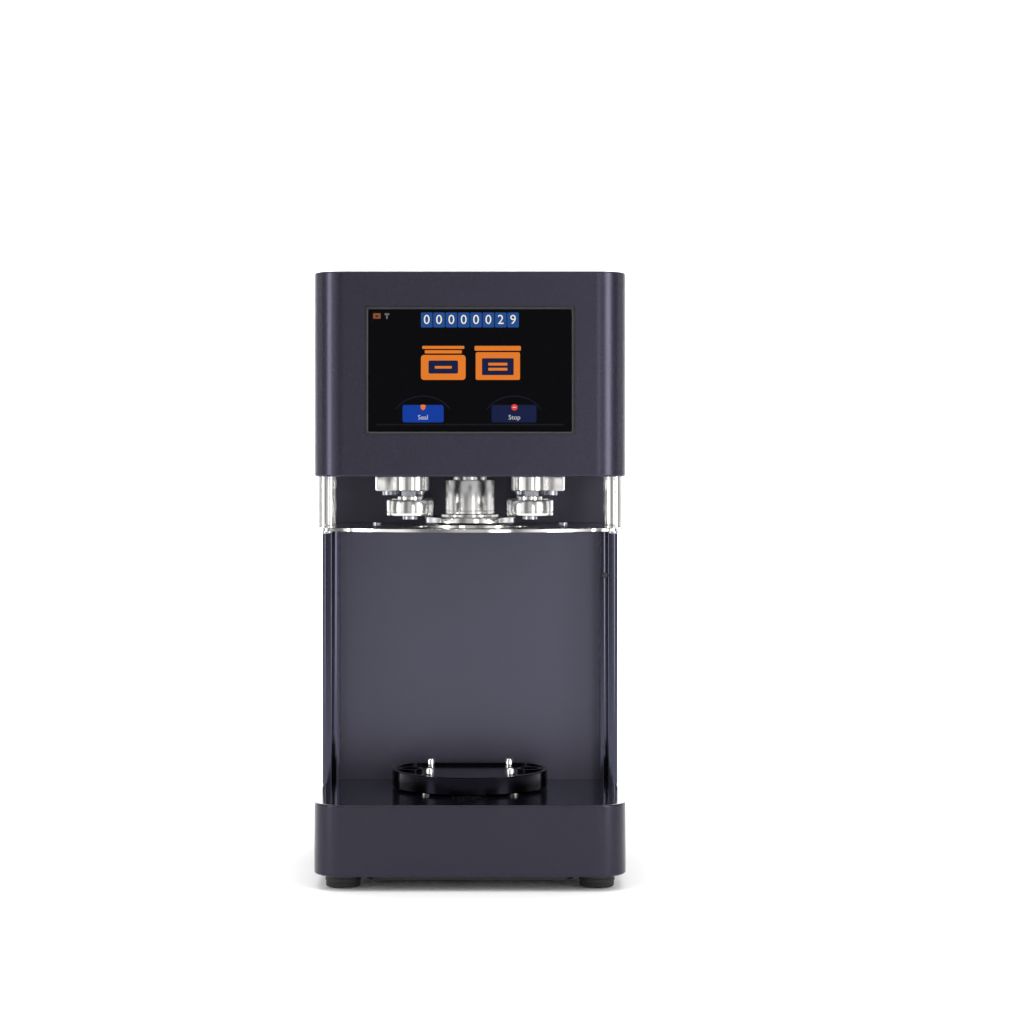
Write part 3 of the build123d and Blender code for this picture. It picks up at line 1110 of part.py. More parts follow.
rotor_depth = FAN_DEPTH - FAN_BACK_THICK - FAN_MARGIN - SEAT
with BuildPart() as fan_rotor:
    with BuildSketch(fan_plane.offset(FAN_MARGIN)):
        with Locations(fan_spot):
            Circle(FAN_HUB)
    extrude(amount=rotor_depth)
    blade_length = FAN_TIP - FAN_HUB + FAN_MARGIN
    rotor_middle = fan_plane.offset(FAN_MARGIN + rotor_depth / 2) * Pos(0, FAN_Z, 0)
    for blade_number in range(FAN_BLADES):
        turn = Rot(0, 0, 360 * blade_number / FAN_BLADES)
        reach = Pos(FAN_TIP - blade_length / 2, 0, 0) * Rot(FAN_PITCH, 0, 0)
        add(rotor_middle * turn * reach * Box(blade_length, FAN_CHORD, FAN_BLADE_THICK, mode=Mode.PRIVATE))
    with BuildSketch(fan_plane):
        with Locations(fan_spot):
            Circle(FAN_PIN + RUN)
    extrude(amount=FAN_DEPTH, mode=Mode.SUBTRACT)
fan_rotor.part.label = "fan_rotor"
export_step(fan_rotor.part, "parts/fan_rotor.step")
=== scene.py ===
import json
import math

import bmesh
import bpy
from mathutils import Matrix, Vector

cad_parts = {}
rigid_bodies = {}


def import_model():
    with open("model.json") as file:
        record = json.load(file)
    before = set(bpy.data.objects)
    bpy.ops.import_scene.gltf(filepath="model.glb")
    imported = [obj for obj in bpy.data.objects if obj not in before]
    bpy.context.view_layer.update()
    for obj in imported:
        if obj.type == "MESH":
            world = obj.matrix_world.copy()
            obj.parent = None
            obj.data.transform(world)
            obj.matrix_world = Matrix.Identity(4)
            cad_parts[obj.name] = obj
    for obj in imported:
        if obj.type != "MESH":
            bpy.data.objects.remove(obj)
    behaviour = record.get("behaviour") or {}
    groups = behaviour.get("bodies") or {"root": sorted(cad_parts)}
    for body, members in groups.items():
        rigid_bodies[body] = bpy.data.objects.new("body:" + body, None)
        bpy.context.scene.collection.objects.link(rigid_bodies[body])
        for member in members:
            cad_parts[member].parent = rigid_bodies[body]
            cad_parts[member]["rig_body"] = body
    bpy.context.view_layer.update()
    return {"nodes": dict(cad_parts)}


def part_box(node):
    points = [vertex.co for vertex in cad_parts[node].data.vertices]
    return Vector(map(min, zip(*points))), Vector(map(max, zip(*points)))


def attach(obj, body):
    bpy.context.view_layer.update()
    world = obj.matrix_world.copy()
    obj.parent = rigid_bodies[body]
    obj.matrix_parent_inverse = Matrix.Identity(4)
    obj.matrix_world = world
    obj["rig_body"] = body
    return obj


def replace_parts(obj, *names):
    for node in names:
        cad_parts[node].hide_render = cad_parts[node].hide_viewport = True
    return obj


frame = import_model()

# Every length below is in metres. MM turns the millimetre sizes of small details into metres.
MM = 0.001
ROUND_STEPS = 96
# Edges sharper than SMOOTH_ANGLE stay crisp, only those sharper than BEVEL_ANGLE are rounded, and
# faces within FLAT_ANGLE of each other become one. Points closer than MERGE are one point.
SMOOTH_ANGLE = math.radians(32)
BEVEL_ANGLE = math.radians(50)
FLAT_ANGLE = math.radians(0.6)
MERGE = 1e-6

# ---------------------------------------------------------------- shader helpers


class Sock:
    """One output of a shader node, with arithmetic that adds Math nodes to its tree."""

    def __init__(self, paint, out):
        self.paint = paint
        self.out = out

    def _math(self, operation, left, right):
        return self.paint.node("ShaderNodeMath", {"operation": operation}, {0: left, 1: right})

    def __add__(self, other):
        return self._math("ADD", self, other)

    def __radd__(self, other):
        return self._math("ADD", other, self)

    def __sub__(self, other):
        return self._math("SUBTRACT", self, other)

    def __rsub__(self, other):
        return self._math("SUBTRACT", other, self)

    def __mul__(self, other):
        return self._math("MULTIPLY", self, other)

    def __rmul__(self, other):
        return self._math("MULTIPLY", other, self)

    def __truediv__(self, other):
        return self._math("DIVIDE", self, other)

    def clear(self):
        """The value held between 0 and 1."""
        return self.paint.node("ShaderNodeClamp", {}, {"Value": self})


class Paint:
    """A material's node tree, filled through one method."""

    def __init__(self, name):
        self.material = bpy.data.materials.new(name)
        self.material.use_nodes = True
        self.tree = self.material.node_tree
        self.shader = self.tree.nodes["Principled BSDF"]

    def node(self, kind, settings, inputs, output=0):
        """Adds any node: its settings first, then the values or links of its sockets."""
        made = self.tree.nodes.new(kind)
        for key, value in settings.items():
            setattr(made, key, value)
        for key, value in inputs.items():
            self.plug(made.inputs[key], value)
        return Sock(self, made.outputs[output])

    def plug(self, socket, value):
        if isinstance(value, Sock):
            self.tree.links.new(value.out, socket)
        else:
            socket.default_value = value

    def place(self):
        """The point on the piece, in metres."""
        return self.node("ShaderNodeTexCoord", {}, {}, output="Object")

    def noise(self, scale, detail=4.0, rough=0.55, where=None):
        sockets = {"Vector": where or self.place(), "Scale": scale, "Detail": detail, "Roughness": rough}
        return self.node("ShaderNodeTexNoise", {}, sockets)

    def stretched(self, scale_x, scale_y, scale_z):
        """Coordinates scaled per axis, for brushed or lathe marks."""
        sockets = {"Vector": self.place(), "Scale": (scale_x, scale_y, scale_z)}
        return self.node("ShaderNodeMapping", {}, sockets)

    def blend(self, factor, first, second):
        settings = {"data_type": "RGBA"}
        return self.node("ShaderNodeMix", settings, {"Factor": factor, 6: first, 7: second}, output=2)

    def set(self, **inputs):
        for key, value in inputs.items():
            self.plug(self.shader.inputs[key.replace("_", " ")], value)

    def bump(self, height, strength, distance):
        settings = {"Height": height, "Strength": strength, "Distance": distance}
        self.plug(self.shader.inputs["Normal"], self.node("ShaderNodeBump", {}, settings))


def rgb(red, green, blue):
    """A screen colour from 0 to 255 turned into the light values that shaders use."""
    def lin(value):
        part = value / 255
        return part / 12.92 if part <= 0.04045 else ((part + 0.055) / 1.055) ** 2.4
    return (lin(red), lin(green), lin(blue), 1.0)


# ---------------------------------------------------------------- finishes


def anodised(name, colour, roughness, metal, cloud=0.1):
    """Bead-blasted and anodised aluminium: a fine sparkle, faint clouding and softer wear spots."""
    paint = Paint(name)
    clouds = paint.noise(9.0, detail=3.0)
    grain = paint.noise(2600.0, detail=2.0)
    handled = paint.noise(38.0, detail=5.0, rough=0.65)
    dark = tuple(c * (1 - cloud) for c in colour[:3]) + (1.0,)
    light = tuple(c * (1 + cloud) for c in colour[:3]) + (1.0,)
    paint.set(Base_Color=paint.blend(clouds, dark, light), Metallic=metal, Specular_IOR_Level=0.5)
    paint.set(Roughness=(roughness + (handled - 0.5) * 0.04 + (grain - 0.5) * 0.05).clear())
    paint.bump(grain, 0.05, 0.0003)
    return paint.material


def polished(name, colour, roughness, streak=(900.0, 900.0, 9.0), depth=0.05):
    """Polished or turned steel, with fine marks that run along one direction and a few handling smears."""
    paint = Paint(name)
    marks = paint.noise(1.0, detail=3.0, where=paint.stretched(*streak))
    smears = paint.noise(30.0, detail=5.0, rough=0.7)
    tint = tuple(c * 0.86 for c in colour[:3]) + (1.0,)
    paint.set(Base_Color=paint.blend(smears, tint, colour), Metallic=1.0)
    paint.set(Roughness=(roughness + (smears - 0.45) * 0.08 + (marks - 0.5) * 0.06).clear())
    paint.bump(marks, depth, 0.0002)
    return paint.material


def moulded(name, colour, roughness, grain_size=1500.0, depth=0.15, coat=0.0):
    """Moulded plastic or rubber with a fine sparked texture and dull patches."""
    paint = Paint(name)
    grain = paint.noise(grain_size, detail=2.0)
    patches = paint.noise(45.0, detail=4.0)
    lighter = tuple(min(1.0, c * 1.35 + 0.002) for c in colour[:3]) + (1.0,)
    paint.set(Base_Color=paint.blend(patches, colour, lighter), Coat_Weight=coat)
    paint.set(Roughness=(roughness + (patches - 0.5) * 0.12).clear())
    paint.bump(grain, depth, 0.0003)
    return paint.material


def lit(name, colour, glow):
    """A lit part of the display picture, with the faint unevenness of a backlight."""
    paint = Paint(name)
    uneven = paint.noise(60.0, detail=2.0)
    dim = tuple(c * 0.86 for c in colour[:3]) + (1.0,)
    shade = paint.blend(uneven, dim, colour)
    paint.set(Base_Color=rgb(6, 6, 9), Specular_IOR_Level=0.12, Roughness=0.2)
    paint.set(Emission_Color=shade, Emission_Strength=glow)
    return paint.material


BODY = anodised("body_anodised", rgb(55, 53, 66), 0.27, 0.75, cloud=0.05)
BASE = anodised("base_anodised", rgb(46, 44, 55), 0.26, 0.75, cloud=0.05)
# The base's upward top faces get a darker, glossier copy of the base finish; the darker colour is a painted
# reflection of the dark column behind them.
BASE_TOP_PAINTED_REFLECTION = anodised("base_top_painted_reflection", rgb(26, 26, 38), 0.1, 0.6, cloud=0.05)
PANEL = anodised("panel_anodised", rgb(78, 77, 91), 0.34, 0.8, cloud=0.05)
TRIM = anodised("trim_gloss", rgb(62, 62, 75), 0.1, 0.95, cloud=0.05)
DARK_SHEET = anodised("dark_sheet", rgb(58, 57, 68), 0.3, 0.7)
BARE = anodised("milled_aluminium", rgb(168, 168, 172), 0.34, 1.0)
STEEL = polished("polished_steel", rgb(232, 231, 229), 0.15, depth=0.02)
SLEEVE = polished("sleeve_steel", rgb(236, 235, 233), 0.21, streak=(1400.0, 1400.0, 6.0), depth=0.02)
PLATE = polished("plate_steel", rgb(232, 230, 226), 0.09, streak=(700.0, 12.0, 700.0), depth=0.02)
TURNED = polished("turned_steel", rgb(214, 212, 210), 0.13, streak=(60.0, 60.0, 4200.0), depth=0.12)
ZINC = polished("zinc_screws", rgb(176, 178, 184), 0.24, streak=(1800.0, 1800.0, 1800.0), depth=0.06)
TRAY = anodised("tray_black", rgb(12, 11, 18), 0.14, 0.93, cloud=0.05)
RUBBER = moulded("black_rubber", rgb(22, 22, 24), 0.62)
PLASTIC = moulded("black_plastic", rgb(20, 20, 23), 0.42)
BELT = moulded("belt_rubber", rgb(28, 28, 29), 0.7)
BRASS = polished("turned_brass", rgb(202, 168, 96), 0.2, streak=(60.0, 60.0, 3000.0), depth=0.1)
BOARD = moulded("green_board", rgb(18, 70, 42), 0.35, coat=0.4)


def screen_glass():
    """Black touch glass: mirror smooth, with a hint of finger smears."""
    paint = Paint("screen_glass")
    smears = paint.noise(24.0, detail=6.0, rough=0.7)
    paint.set(Base_Color=rgb(3, 3, 5), Specular_IOR_Level=0.06)
    paint.set(Roughness=(0.05 + (smears - 0.4) * 0.08).clear())
    return paint.material


GLASS = screen_glass()

# ---------------------------------------------------------------- mesh helpers


def finish_mesh(name, mesh_data, material, body):
    """Merges a bmesh, turns its faces outwards, shades it by angle and puts it on its body."""
    bmesh.ops.remove_doubles(mesh_data, verts=mesh_data.verts, dist=MERGE)
    bmesh.ops.recalc_face_normals(mesh_data, faces=mesh_data.faces)
    mesh = bpy.data.meshes.new(name)
    mesh_data.to_mesh(mesh)
    mesh_data.free()
    mesh.shade_smooth()
    mesh.set_sharp_from_angle(angle=SMOOTH_ANGLE)
    piece = bpy.data.objects.new(name, mesh)
    bpy.context.scene.collection.objects.link(piece)
    mesh.materials.append(material)
    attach(piece, body)
    return piece


def add_lathe(mesh_data, profile, centre, steps=ROUND_STEPS, axis="Z"):
    """Adds a turned solid: the profile is a closed loop of (radius, height) round an axis at centre."""
    turn = Matrix.Identity(3) if axis == "Z" else Matrix.Rotation(math.radians(90), 3, "X")
    rings = []
    for radius, height in profile:
        if radius <= 0:
            rings.append([mesh_data.verts.new(centre + turn @ Vector((0, 0, height)))])
            continue
        ring = []
        for step in range(steps):
            angle = 2 * math.pi * step / steps
            spot = Vector((radius * math.cos(angle), radius * math.sin(angle), height))
            ring.append(mesh_data.verts.new(centre + turn @ spot))
        rings.append(ring)
    for lower, upper in zip(rings, rings[1:] + rings[:1]):
        for step in range(steps):
            following = (step + 1) % steps
            if len(lower) == 1 and len(upper) == 1:
                break
            if len(lower) == 1:
                corners = [lower[0], upper[following], upper[step]]
            elif len(upper) == 1:
                corners = [lower[step], lower[following], upper[0]]
            else:
                corners = [lower[step], lower[following], upper[following], upper[step]]
            mesh_data.faces.new(corners)


def rectangle(width, height, radius, steps=6):
    """The corners of a rounded rectangle about (0, 0), walked anticlockwise."""
    points = []
    for quarter in range(4):
        sign_x = (1, -1, -1, 1)[quarter]
        sign_y = (1, 1, -1, -1)[quarter]
        for step in range(steps + 1):
            angle = math.radians(90 * quarter + 90 * step / steps)
            across = sign_x * (width / 2 - radius) + radius * math.cos(angle)
            along = sign_y * (height / 2 - radius) + radius * math.sin(angle)
            points.append((across, along))
    return points


def add_slab(mesh_data, outline, low, high, place):
    """Adds a flat piece: place turns (across, along, out) into a point in the frame."""
    bottom = [mesh_data.verts.new(place(x, y, low)) for x, y in outline]
    top = [mesh_data.verts.new(place(x, y, high)) for x, y in outline]
    mesh_data.faces.new(bottom[::-1])
    mesh_data.faces.new(top)
    for index in range(len(outline)):
        following = (index + 1) % len(outline)
        mesh_data.faces.new([bottom[index], bottom[following], top[following], top[index]])


def refined(node, material, bevel=0.25 * MM):
    """A smooth copy of a CAD piece: merged, cleaned of needless edges, with small rounded edges."""
    source = frame["nodes"][node]
    shape = bmesh.new()
    shape.from_mesh(source.data)
    bmesh.ops.remove_doubles(shape, verts=shape.verts, dist=2 * MERGE)
    bmesh.ops.dissolve_limit(shape, angle_limit=FLAT_ANGLE, verts=shape.verts, edges=shape.edges)
    piece = finish_mesh(node + "_finish", shape, material, source["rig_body"])
    if bevel:
        rounding = piece.modifiers.new("edges", "BEVEL")
        rounding.width = bevel
        rounding.segments = 2
        rounding.limit_method = "ANGLE"
        rounding.angle_limit = BEVEL_ANGLE
        rounding.harden_normals = True
    flattening = piece.modifiers.new("flat_faces", "WEIGHTED_NORMAL")
    flattening.keep_sharp = True
    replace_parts(piece, node)
    return piece


def repaint(node, material):
    """Gives a CAD piece its finish and leaves its shape alone."""
    data = frame["nodes"][node].data
    data.materials.clear()
    data.materials.append(material)

# ---------------------------------------------------------------- Geometry Nodes for what repeats


def array_tree(name):
    """A tree that sets copies of one small shape in a row of Count, Pitch apart, with one finish."""
    tree = bpy.data.node_groups.new(name, "GeometryNodeTree")
    face = tree.interface
    face.new_socket("Geometry", in_out="INPUT", socket_type="NodeSocketGeometry")
    face.new_socket("Count", in_out="INPUT", socket_type="NodeSocketInt")
    face.new_socket("Pitch", in_out="INPUT", socket_type="NodeSocketVector")
    face.new_socket("Start", in_out="INPUT", socket_type="NodeSocketVector")
    face.new_socket("Turn", in_out="INPUT", socket_type="NodeSocketVector")
    face.new_socket("Finish", in_out="INPUT", socket_type="NodeSocketMaterial")
    face.new_socket("Geometry", in_out="OUTPUT", socket_type="NodeSocketGeometry")
    given = tree.nodes.new("NodeGroupInput")
    result = tree.nodes.new("NodeGroupOutput")
    line = tree.nodes.new("GeometryNodeMeshLine")
    copies = tree.nodes.new("GeometryNodeInstanceOnPoints")
    index = tree.nodes.new("GeometryNodeInputIndex")
    turning = tree.nodes.new("ShaderNodeVectorMath")
    turning.operation = "SCALE"
    real = tree.nodes.new("GeometryNodeRealizeInstances")
    finish = tree.nodes.new("GeometryNodeSetMaterial")
    join = tree.links.new
    join(given.outputs["Count"], line.inputs["Count"])
    join(given.outputs["Pitch"], line.inputs["Offset"])
    join(given.outputs["Start"], line.inputs["Start Location"])
    join(line.outputs["Mesh"], copies.inputs["Points"])
    join(given.outputs["Geometry"], copies.inputs["Instance"])
    join(given.outputs["Turn"], turning.inputs[0])
    join(index.outputs["Index"], turning.inputs["Scale"])
    join(turning.outputs["Vector"], copies.inputs["Rotation"])
    join(copies.outputs["Instances"], real.inputs["Geometry"])
    join(real.outputs["Geometry"], finish.inputs["Geometry"])
    join(given.outputs["Finish"], finish.inputs["Material"])
    join(finish.outputs["Geometry"], result.inputs["Geometry"])
    return tree


ARRAY = array_tree("repeat_in_a_row")


def repeated(name, shape, settings, material, body):
    """Runs the array tree on a bmesh, keeps the plain mesh that comes out and puts it on its body."""
    bmesh.ops.recalc_face_normals(shape, faces=shape.faces)
    seed = bpy.data.meshes.new(name + "_seed")
    shape.to_mesh(seed)
    shape.free()
    seed.shade_smooth()
    seed.set_sharp_from_angle(angle=SMOOTH_ANGLE)
    piece = bpy.data.objects.new(name, seed)
    bpy.context.scene.collection.objects.link(piece)
    grower = piece.modifiers.new("row", "NODES")
    grower.node_group = ARRAY
    values = {"Turn": (0, 0, 0), "Start": (0, 0, 0), "Finish": material, **settings}
    for item in ARRAY.interface.items_tree:
        if item.in_out == "INPUT" and item.name in values:
            grower[item.identifier] = values[item.name]
    bpy.context.view_layer.update()
    graph = bpy.context.evaluated_depsgraph_get()
    grown = bpy.data.meshes.new_from_object(piece.evaluated_get(graph))
    piece.modifiers.remove(grower)
    piece.data = grown
    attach(piece, body)
    return piece


# ---------------------------------------------------------------- shells and sheet parts

refined("head_shell", BODY, bevel=0)
base_finish = refined("base_shell", BASE, bevel=0)
base_finish.data.materials.append(BASE_TOP_PAINTED_REFLECTION)
base_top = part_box("base_shell")[1].z - 0.1 * MM
UPRIGHT = 0.9
# Upward faces at the base's top take the darker finish, a painted reflection of the dark column.
for face in base_finish.data.polygons:
    if face.normal.z > UPRIGHT and face.center.z > base_top:
        face.material_index = 1
refined("column_shell", BODY)
refined("column_front_panel", PANEL)
refined("column_trims", TRIM, bevel=0)
refined("upper_back_wall", DARK_SHEET)
refined("rear_cover", DARK_SHEET, bevel=0)
refined("head_deck", DARK_SHEET)
refined("bottom_cover", PLASTIC)
refined("guide_plate", PLATE, bevel=0)
refined("screen_bezel", PLASTIC, bevel=0)
refined("power_inlet", PLASTIC)
refined("power_rocker", PLASTIC)
refined("fan_housing", PLASTIC)
refined("fan_rotor", PLASTIC)
refined("jar_tray", TRAY, bevel=0.3 * MM)
refined("turret_plate", BARE)
for number in range(1, 5):
    refined(f"roller_arm_{number}", STEEL, bevel=0)
    refined(f"roller_pin_{number}", ZINC)
for node in ("pivot_pins", "head_screws", "plate_screws", "rear_cover_screws", "foot_screws", "chuck_bolt"):
    refined(node, ZINC, bevel=0.1 * MM)
for node, material in (
    ("touch_glass", GLASS), ("display_module", PLASTIC), ("controller_board", BOARD), ("drive_plate", BARE),
    ("plate_standoffs", BARE), ("drive_motor", PLASTIC), ("drive_belt", BELT), ("lift_belt", BELT),
    ("lift_bushes", BRASS), ("screw_bearing", TURNED), ("lift_motor", TURNED), ("power_supply", BARE),
    ("turret_bearings", TURNED), ("turret_pulley", BARE), ("motor_pulley", TURNED), ("lift_screw", TURNED),
    ("lift_motor_pulley", TURNED), ("lift_plunger", STEEL), ("lift_rods", STEEL), ("spindle", STEEL),
):
    repaint(node, material)

# ---------------------------------------------------------------- turned parts

# Profiles in millimetres, as (radius, height above the piece's level), walked round the section.
# The roller has a recessed ring underneath, a fine groove in its rim and a hub on top.
ROLLER_PROFILE = (
    (4.05, 0), (12, 0), (12.4, 0.5), (16.2, 0.5), (16.6, 0), (17.6, 0), (18.6, 0.4), (19, 1.4),
    (19, 2.6), (18.6, 3.0), (18.6, 3.6), (19, 4.0), (19, 12.1), (18.7, 12.7), (18.1, 13), (13, 13),
    (12.6, 12.6), (10.4, 12.6), (10, 13), (10, 15.6), (9.6, 16), (4.05, 16),
)
# The chuck has a pocket for its bolt, and a flange above its rim that the sleeve stands on.
CHUCK_PROFILE = (
    (4.05, 4), (6.6, 4), (6.6, 0), (36.4, 0), (38, 1.6), (38, 5.2), (37.8, 5.8), (37.2, 6), (30, 6),
    (29.4, 5.4), (25.4, 5.6), (24.5, 6), (24.5, 8), (24, 8.5), (4.05, 8.5),
)
SLEEVE_PROFILE = (
    (14.35, 0), (20.1, 0), (20.5, 0.4), (20.5, 2.2), (20.1, 2.5), (20.1, 2.9), (20.5, 3.2),
    (20.5, 27.3), (20.15, 28.15), (19.3, 28.5), (14.95, 28.5), (14.35, 27.9),
)
# The post has a ring at its foot and a fine groove under its top.
POST_PROFILE = (
    (0, 0), (7.5, 0), (7.8, 0.3), (7.8, 1.8), (7.55, 2.2), (7.0, 2.2), (7.0, 2.8), (7.5, 3.1),
    (7.5, 39.3), (7.1, 39.6), (7.1, 40.1), (7.5, 40.4), (7.5, 42.3), (0, 42.3),
)
# The rubber foot has two grip grooves and a sunk screw hole.
FOOT_PROFILE = (
    (2.05, 5), (5, 5), (5, 0), (12.4, 0), (13.4, 0.4), (13.9, 1.2), (14.1, 3.2), (13.7, 3.6),
    (13.8, 4.4), (14.3, 4.8), (14.5, 6.6), (14.1, 7.0), (14.2, 7.8), (14.7, 8.2), (15, 10.8),
    (14.6, 11.4), (2.05, 11.4),
)
# The jar pin is domed, and its shank stands below the tray's floor.
JAR_PIN_PROFILE = (
    (0, -5.8), (2, -5.8), (2, 0), (3.3, 0), (3.3, 5), (2.8, 6.3), (1.9, 7.1), (1.2, 7.4), (0, 7.5),
)
SIDE_SCREW_PROFILE = (
    (0, -0.5), (2.1, -0.5), (2.1, 0.15), (1.8, 0.5), (1.1, 0.72), (0.5, 0.5), (0, 0.45),
)
TRAY_RIM = 2.5 * MM
SIDE_SCREW_HEIGHT = 245 * MM
SIDE_SCREW_INSET = 11 * MM
GUARD_RINGS = (9 * MM, 15 * MM, 21 * MM, 27 * MM)
GUARD_WIRE = 0.55 * MM
GUARD_GAP = 0.2 * MM


def in_metres(profile, level=0.0):
    """A profile in millimetres turned into metres, with its heights counted from level."""
    return [(radius * MM, level + height * MM) for radius, height in profile]


def centres(start, end, radius):
    """Where round pieces lie between two ends: one in the middle, or one at each end."""
    if end - start < 3 * radius:
        return [(start + end) / 2]
    return [start + radius, end - radius]


def turned(name, node, profile, level, material, body, steps=ROUND_STEPS):
    """Lathe-made pieces in the place of a CAD node's round ones, which it replaces."""
    low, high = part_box(node)
    radius = max(point[0] for point in profile) * MM
    shape = bmesh.new()
    for x in centres(low.x, high.x, radius):
        for y in centres(low.y, high.y, radius):
            add_lathe(shape, in_metres(profile, level), Vector((x, y, 0)), steps)
    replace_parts(finish_mesh(name, shape, material, body), node)


def build_side_screw():
    """A small dark domed screw on the right trim, part way up."""
    low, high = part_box("column_trims")
    shape = bmesh.new()
    place = Vector((high.x - SIDE_SCREW_INSET, low.y, SIDE_SCREW_HEIGHT))
    add_lathe(shape, in_metres(SIDE_SCREW_PROFILE), place, steps=40, axis="Y")
    finish_mesh("trim_screw", shape, PLASTIC, "root")


def build_fan_guard():
    """Four wire rings before the fan, on the inner side of the rear cover."""
    low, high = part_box("fan_housing")
    place = Vector(((low.x + high.x) / 2, low.y - GUARD_GAP, (low.z + high.z) / 2))
    section = [math.radians(60 * side) for side in range(6)]
    shape = bmesh.new()
    for ring in GUARD_RINGS:
        around = [(ring + GUARD_WIRE * math.cos(a), GUARD_WIRE * math.sin(a)) for a in section]
        add_lathe(shape, around, place, steps=64, axis="Y")
    finish_mesh("fan_guard", shape, ZINC, "root")


def level_of(node):
    """The height of a node's underside."""
    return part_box(node)[0].z


for number in range(1, 5):
    node = f"seaming_roller_{number}"
    turned(
        node + "_turned", node, ROLLER_PROFILE, level_of(node), STEEL, f"roller_{number}"
    )
for name, node, profile, material, slot, steps in (
    ("chuck_turned", "seaming_chuck", CHUCK_PROFILE, STEEL, "polished_steel", ROUND_STEPS),
    ("sleeve_turned", "spindle_sleeve", SLEEVE_PROFILE, SLEEVE, "polished_steel", ROUND_STEPS),
    ("posts_turned", "front_posts", POST_PROFILE, STEEL, "polished_steel", ROUND_STEPS),
    ("feet_moulded", "feet", FOOT_PROFILE, RUBBER, "rubber", 64),
):
    turned(name, node, profile, level_of(node), material, "root", steps)
tray_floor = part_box("jar_tray")[1].z - TRAY_RIM
turned(
    "tray_pins_turned", "tray_pins", JAR_PIN_PROFILE, tray_floor, STEEL, "tray", steps=48
)
build_side_screw()
build_fan_guard()

# ---------------------------------------------------------------- the picture on the display

INK = lit("screen_white", rgb(214, 214, 220), 0.9)
FAINT = lit("screen_grey", rgb(120, 120, 128), 0.7)
TILE = lit("tile_blue", rgb(30, 78, 150), 0.9)
DIGIT = lit("digit_cream", rgb(250, 246, 220), 1.0)
ORANGE = lit("icon_orange", rgb(232, 124, 34), 1.0)
RUST = lit("icon_rust", rgb(150, 86, 48), 0.8)
RED = lit("icon_red", rgb(226, 62, 44), 1.0)
BUTTON = lit("button_blue", rgb(0, 56, 157), 1.0)
NAVY = lit("button_navy", rgb(8, 22, 66), 0.9)
BAND = lit("screen_band", rgb(13, 14, 22), 0.7)
ARC = lit("screen_arc", rgb(20, 28, 56), 0.7)

glass_low, glass_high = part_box("touch_glass")
SCREEN_X = (glass_low.x + glass_high.x) / 2
SCREEN_Z = (glass_low.z + glass_high.z) / 2
SCREEN_Y = glass_low.y
# The picture is a stack of thin layers, LIFT in front of the glass.
LAYER = 0.03 * MM
LIFT = LAYER / 4
# The count row, in millimetres: one tile to a digit.
COUNT = "00000029"
TILE_SIZE = (9.2, 11.9)
TILE_ROUND = 0.9
TILE_PITCH = 9.8
ROW_START = -34.4
ROW_HEIGHT = 40.2
DIGIT_SIZE = 10.5
# The two buttons: their middles across, their words' and icons' heights, and the size of the words.
SEAL_X = -37.3
STOP_X = 35.3
BUTTON_LOW = -41.2
BUTTON_HIGH = -27.3
BUTTON_ROUND = 1.6
ICON_HEIGHT = -29.2
WORD_HEIGHT = -37.3
WORD_SIZE = 5.2
# The faint arcs over the buttons, as half widths and heights of their outer and inner lines.
ARC_LOW = -41
ARC_OUTER = (25, 21)
ARC_INNER = (24.4, 20.4)
ARC_STEPS = 24
BAND_INSET = 6
BAND_LOW = 5
BAND_HEIGHT = 1.2


def on_screen(x, z, out):
    """A point of the picture: millimetres right and up from the middle of the glass, and a height."""
    return Vector((SCREEN_X + x * MM, SCREEN_Y - out, SCREEN_Z + z * MM))


def flat_shape(name, outlines, material, layer):
    """Thin raised shapes on the glass, each from its outline in millimetres."""
    shape = bmesh.new()
    for outline in outlines:
        add_slab(shape, outline, (layer - 1) * LAYER + LIFT, layer * LAYER + LIFT, on_screen)
    return finish_mesh(name, shape, material, "root")


def on_tile(x, z, out):
    """A point of a tile, in millimetres from its middle."""
    return Vector((x * MM, -out, z * MM))


def moved(outline, x, z):
    """An outline shifted across and up."""
    return [(x + across, z + along) for across, along in outline]


def bar(left, right, low, high, radius=0.2, steps=3):
    """A rounded rectangle given by its sides, in millimetres."""
    across = (left + right) / 2
    along = (low + high) / 2
    return moved(rectangle(right - left, high - low, radius, steps), across, along)


def words(name, text, x, z, size, material, layer=3):
    """A short generic word, turned from a font curve into a thin mesh in front of the glass."""
    curve = bpy.data.curves.new(name, "FONT")
    curve.body = text
    curve.align_x = "CENTER"
    curve.align_y = "CENTER"
    curve.size = size * MM
    curve.extrude = LAYER / 2
    curve.resolution_u = 4
    holder = bpy.data.objects.new(name + "_curve", curve)
    bpy.context.scene.collection.objects.link(holder)
    bpy.context.view_layer.update()
    mesh = bpy.data.meshes.new_from_object(holder.evaluated_get(bpy.context.evaluated_depsgraph_get()))
    bpy.data.objects.remove(holder)
    standing = Matrix.Rotation(math.radians(90), 4, "X")
    mesh.transform(Matrix.Translation(on_screen(x, z, layer * LAYER)) @ standing)
    shape = bmesh.new()
    shape.from_mesh(mesh)
    bpy.data.meshes.remove(mesh)
    return finish_mesh(name, shape, material, "root")


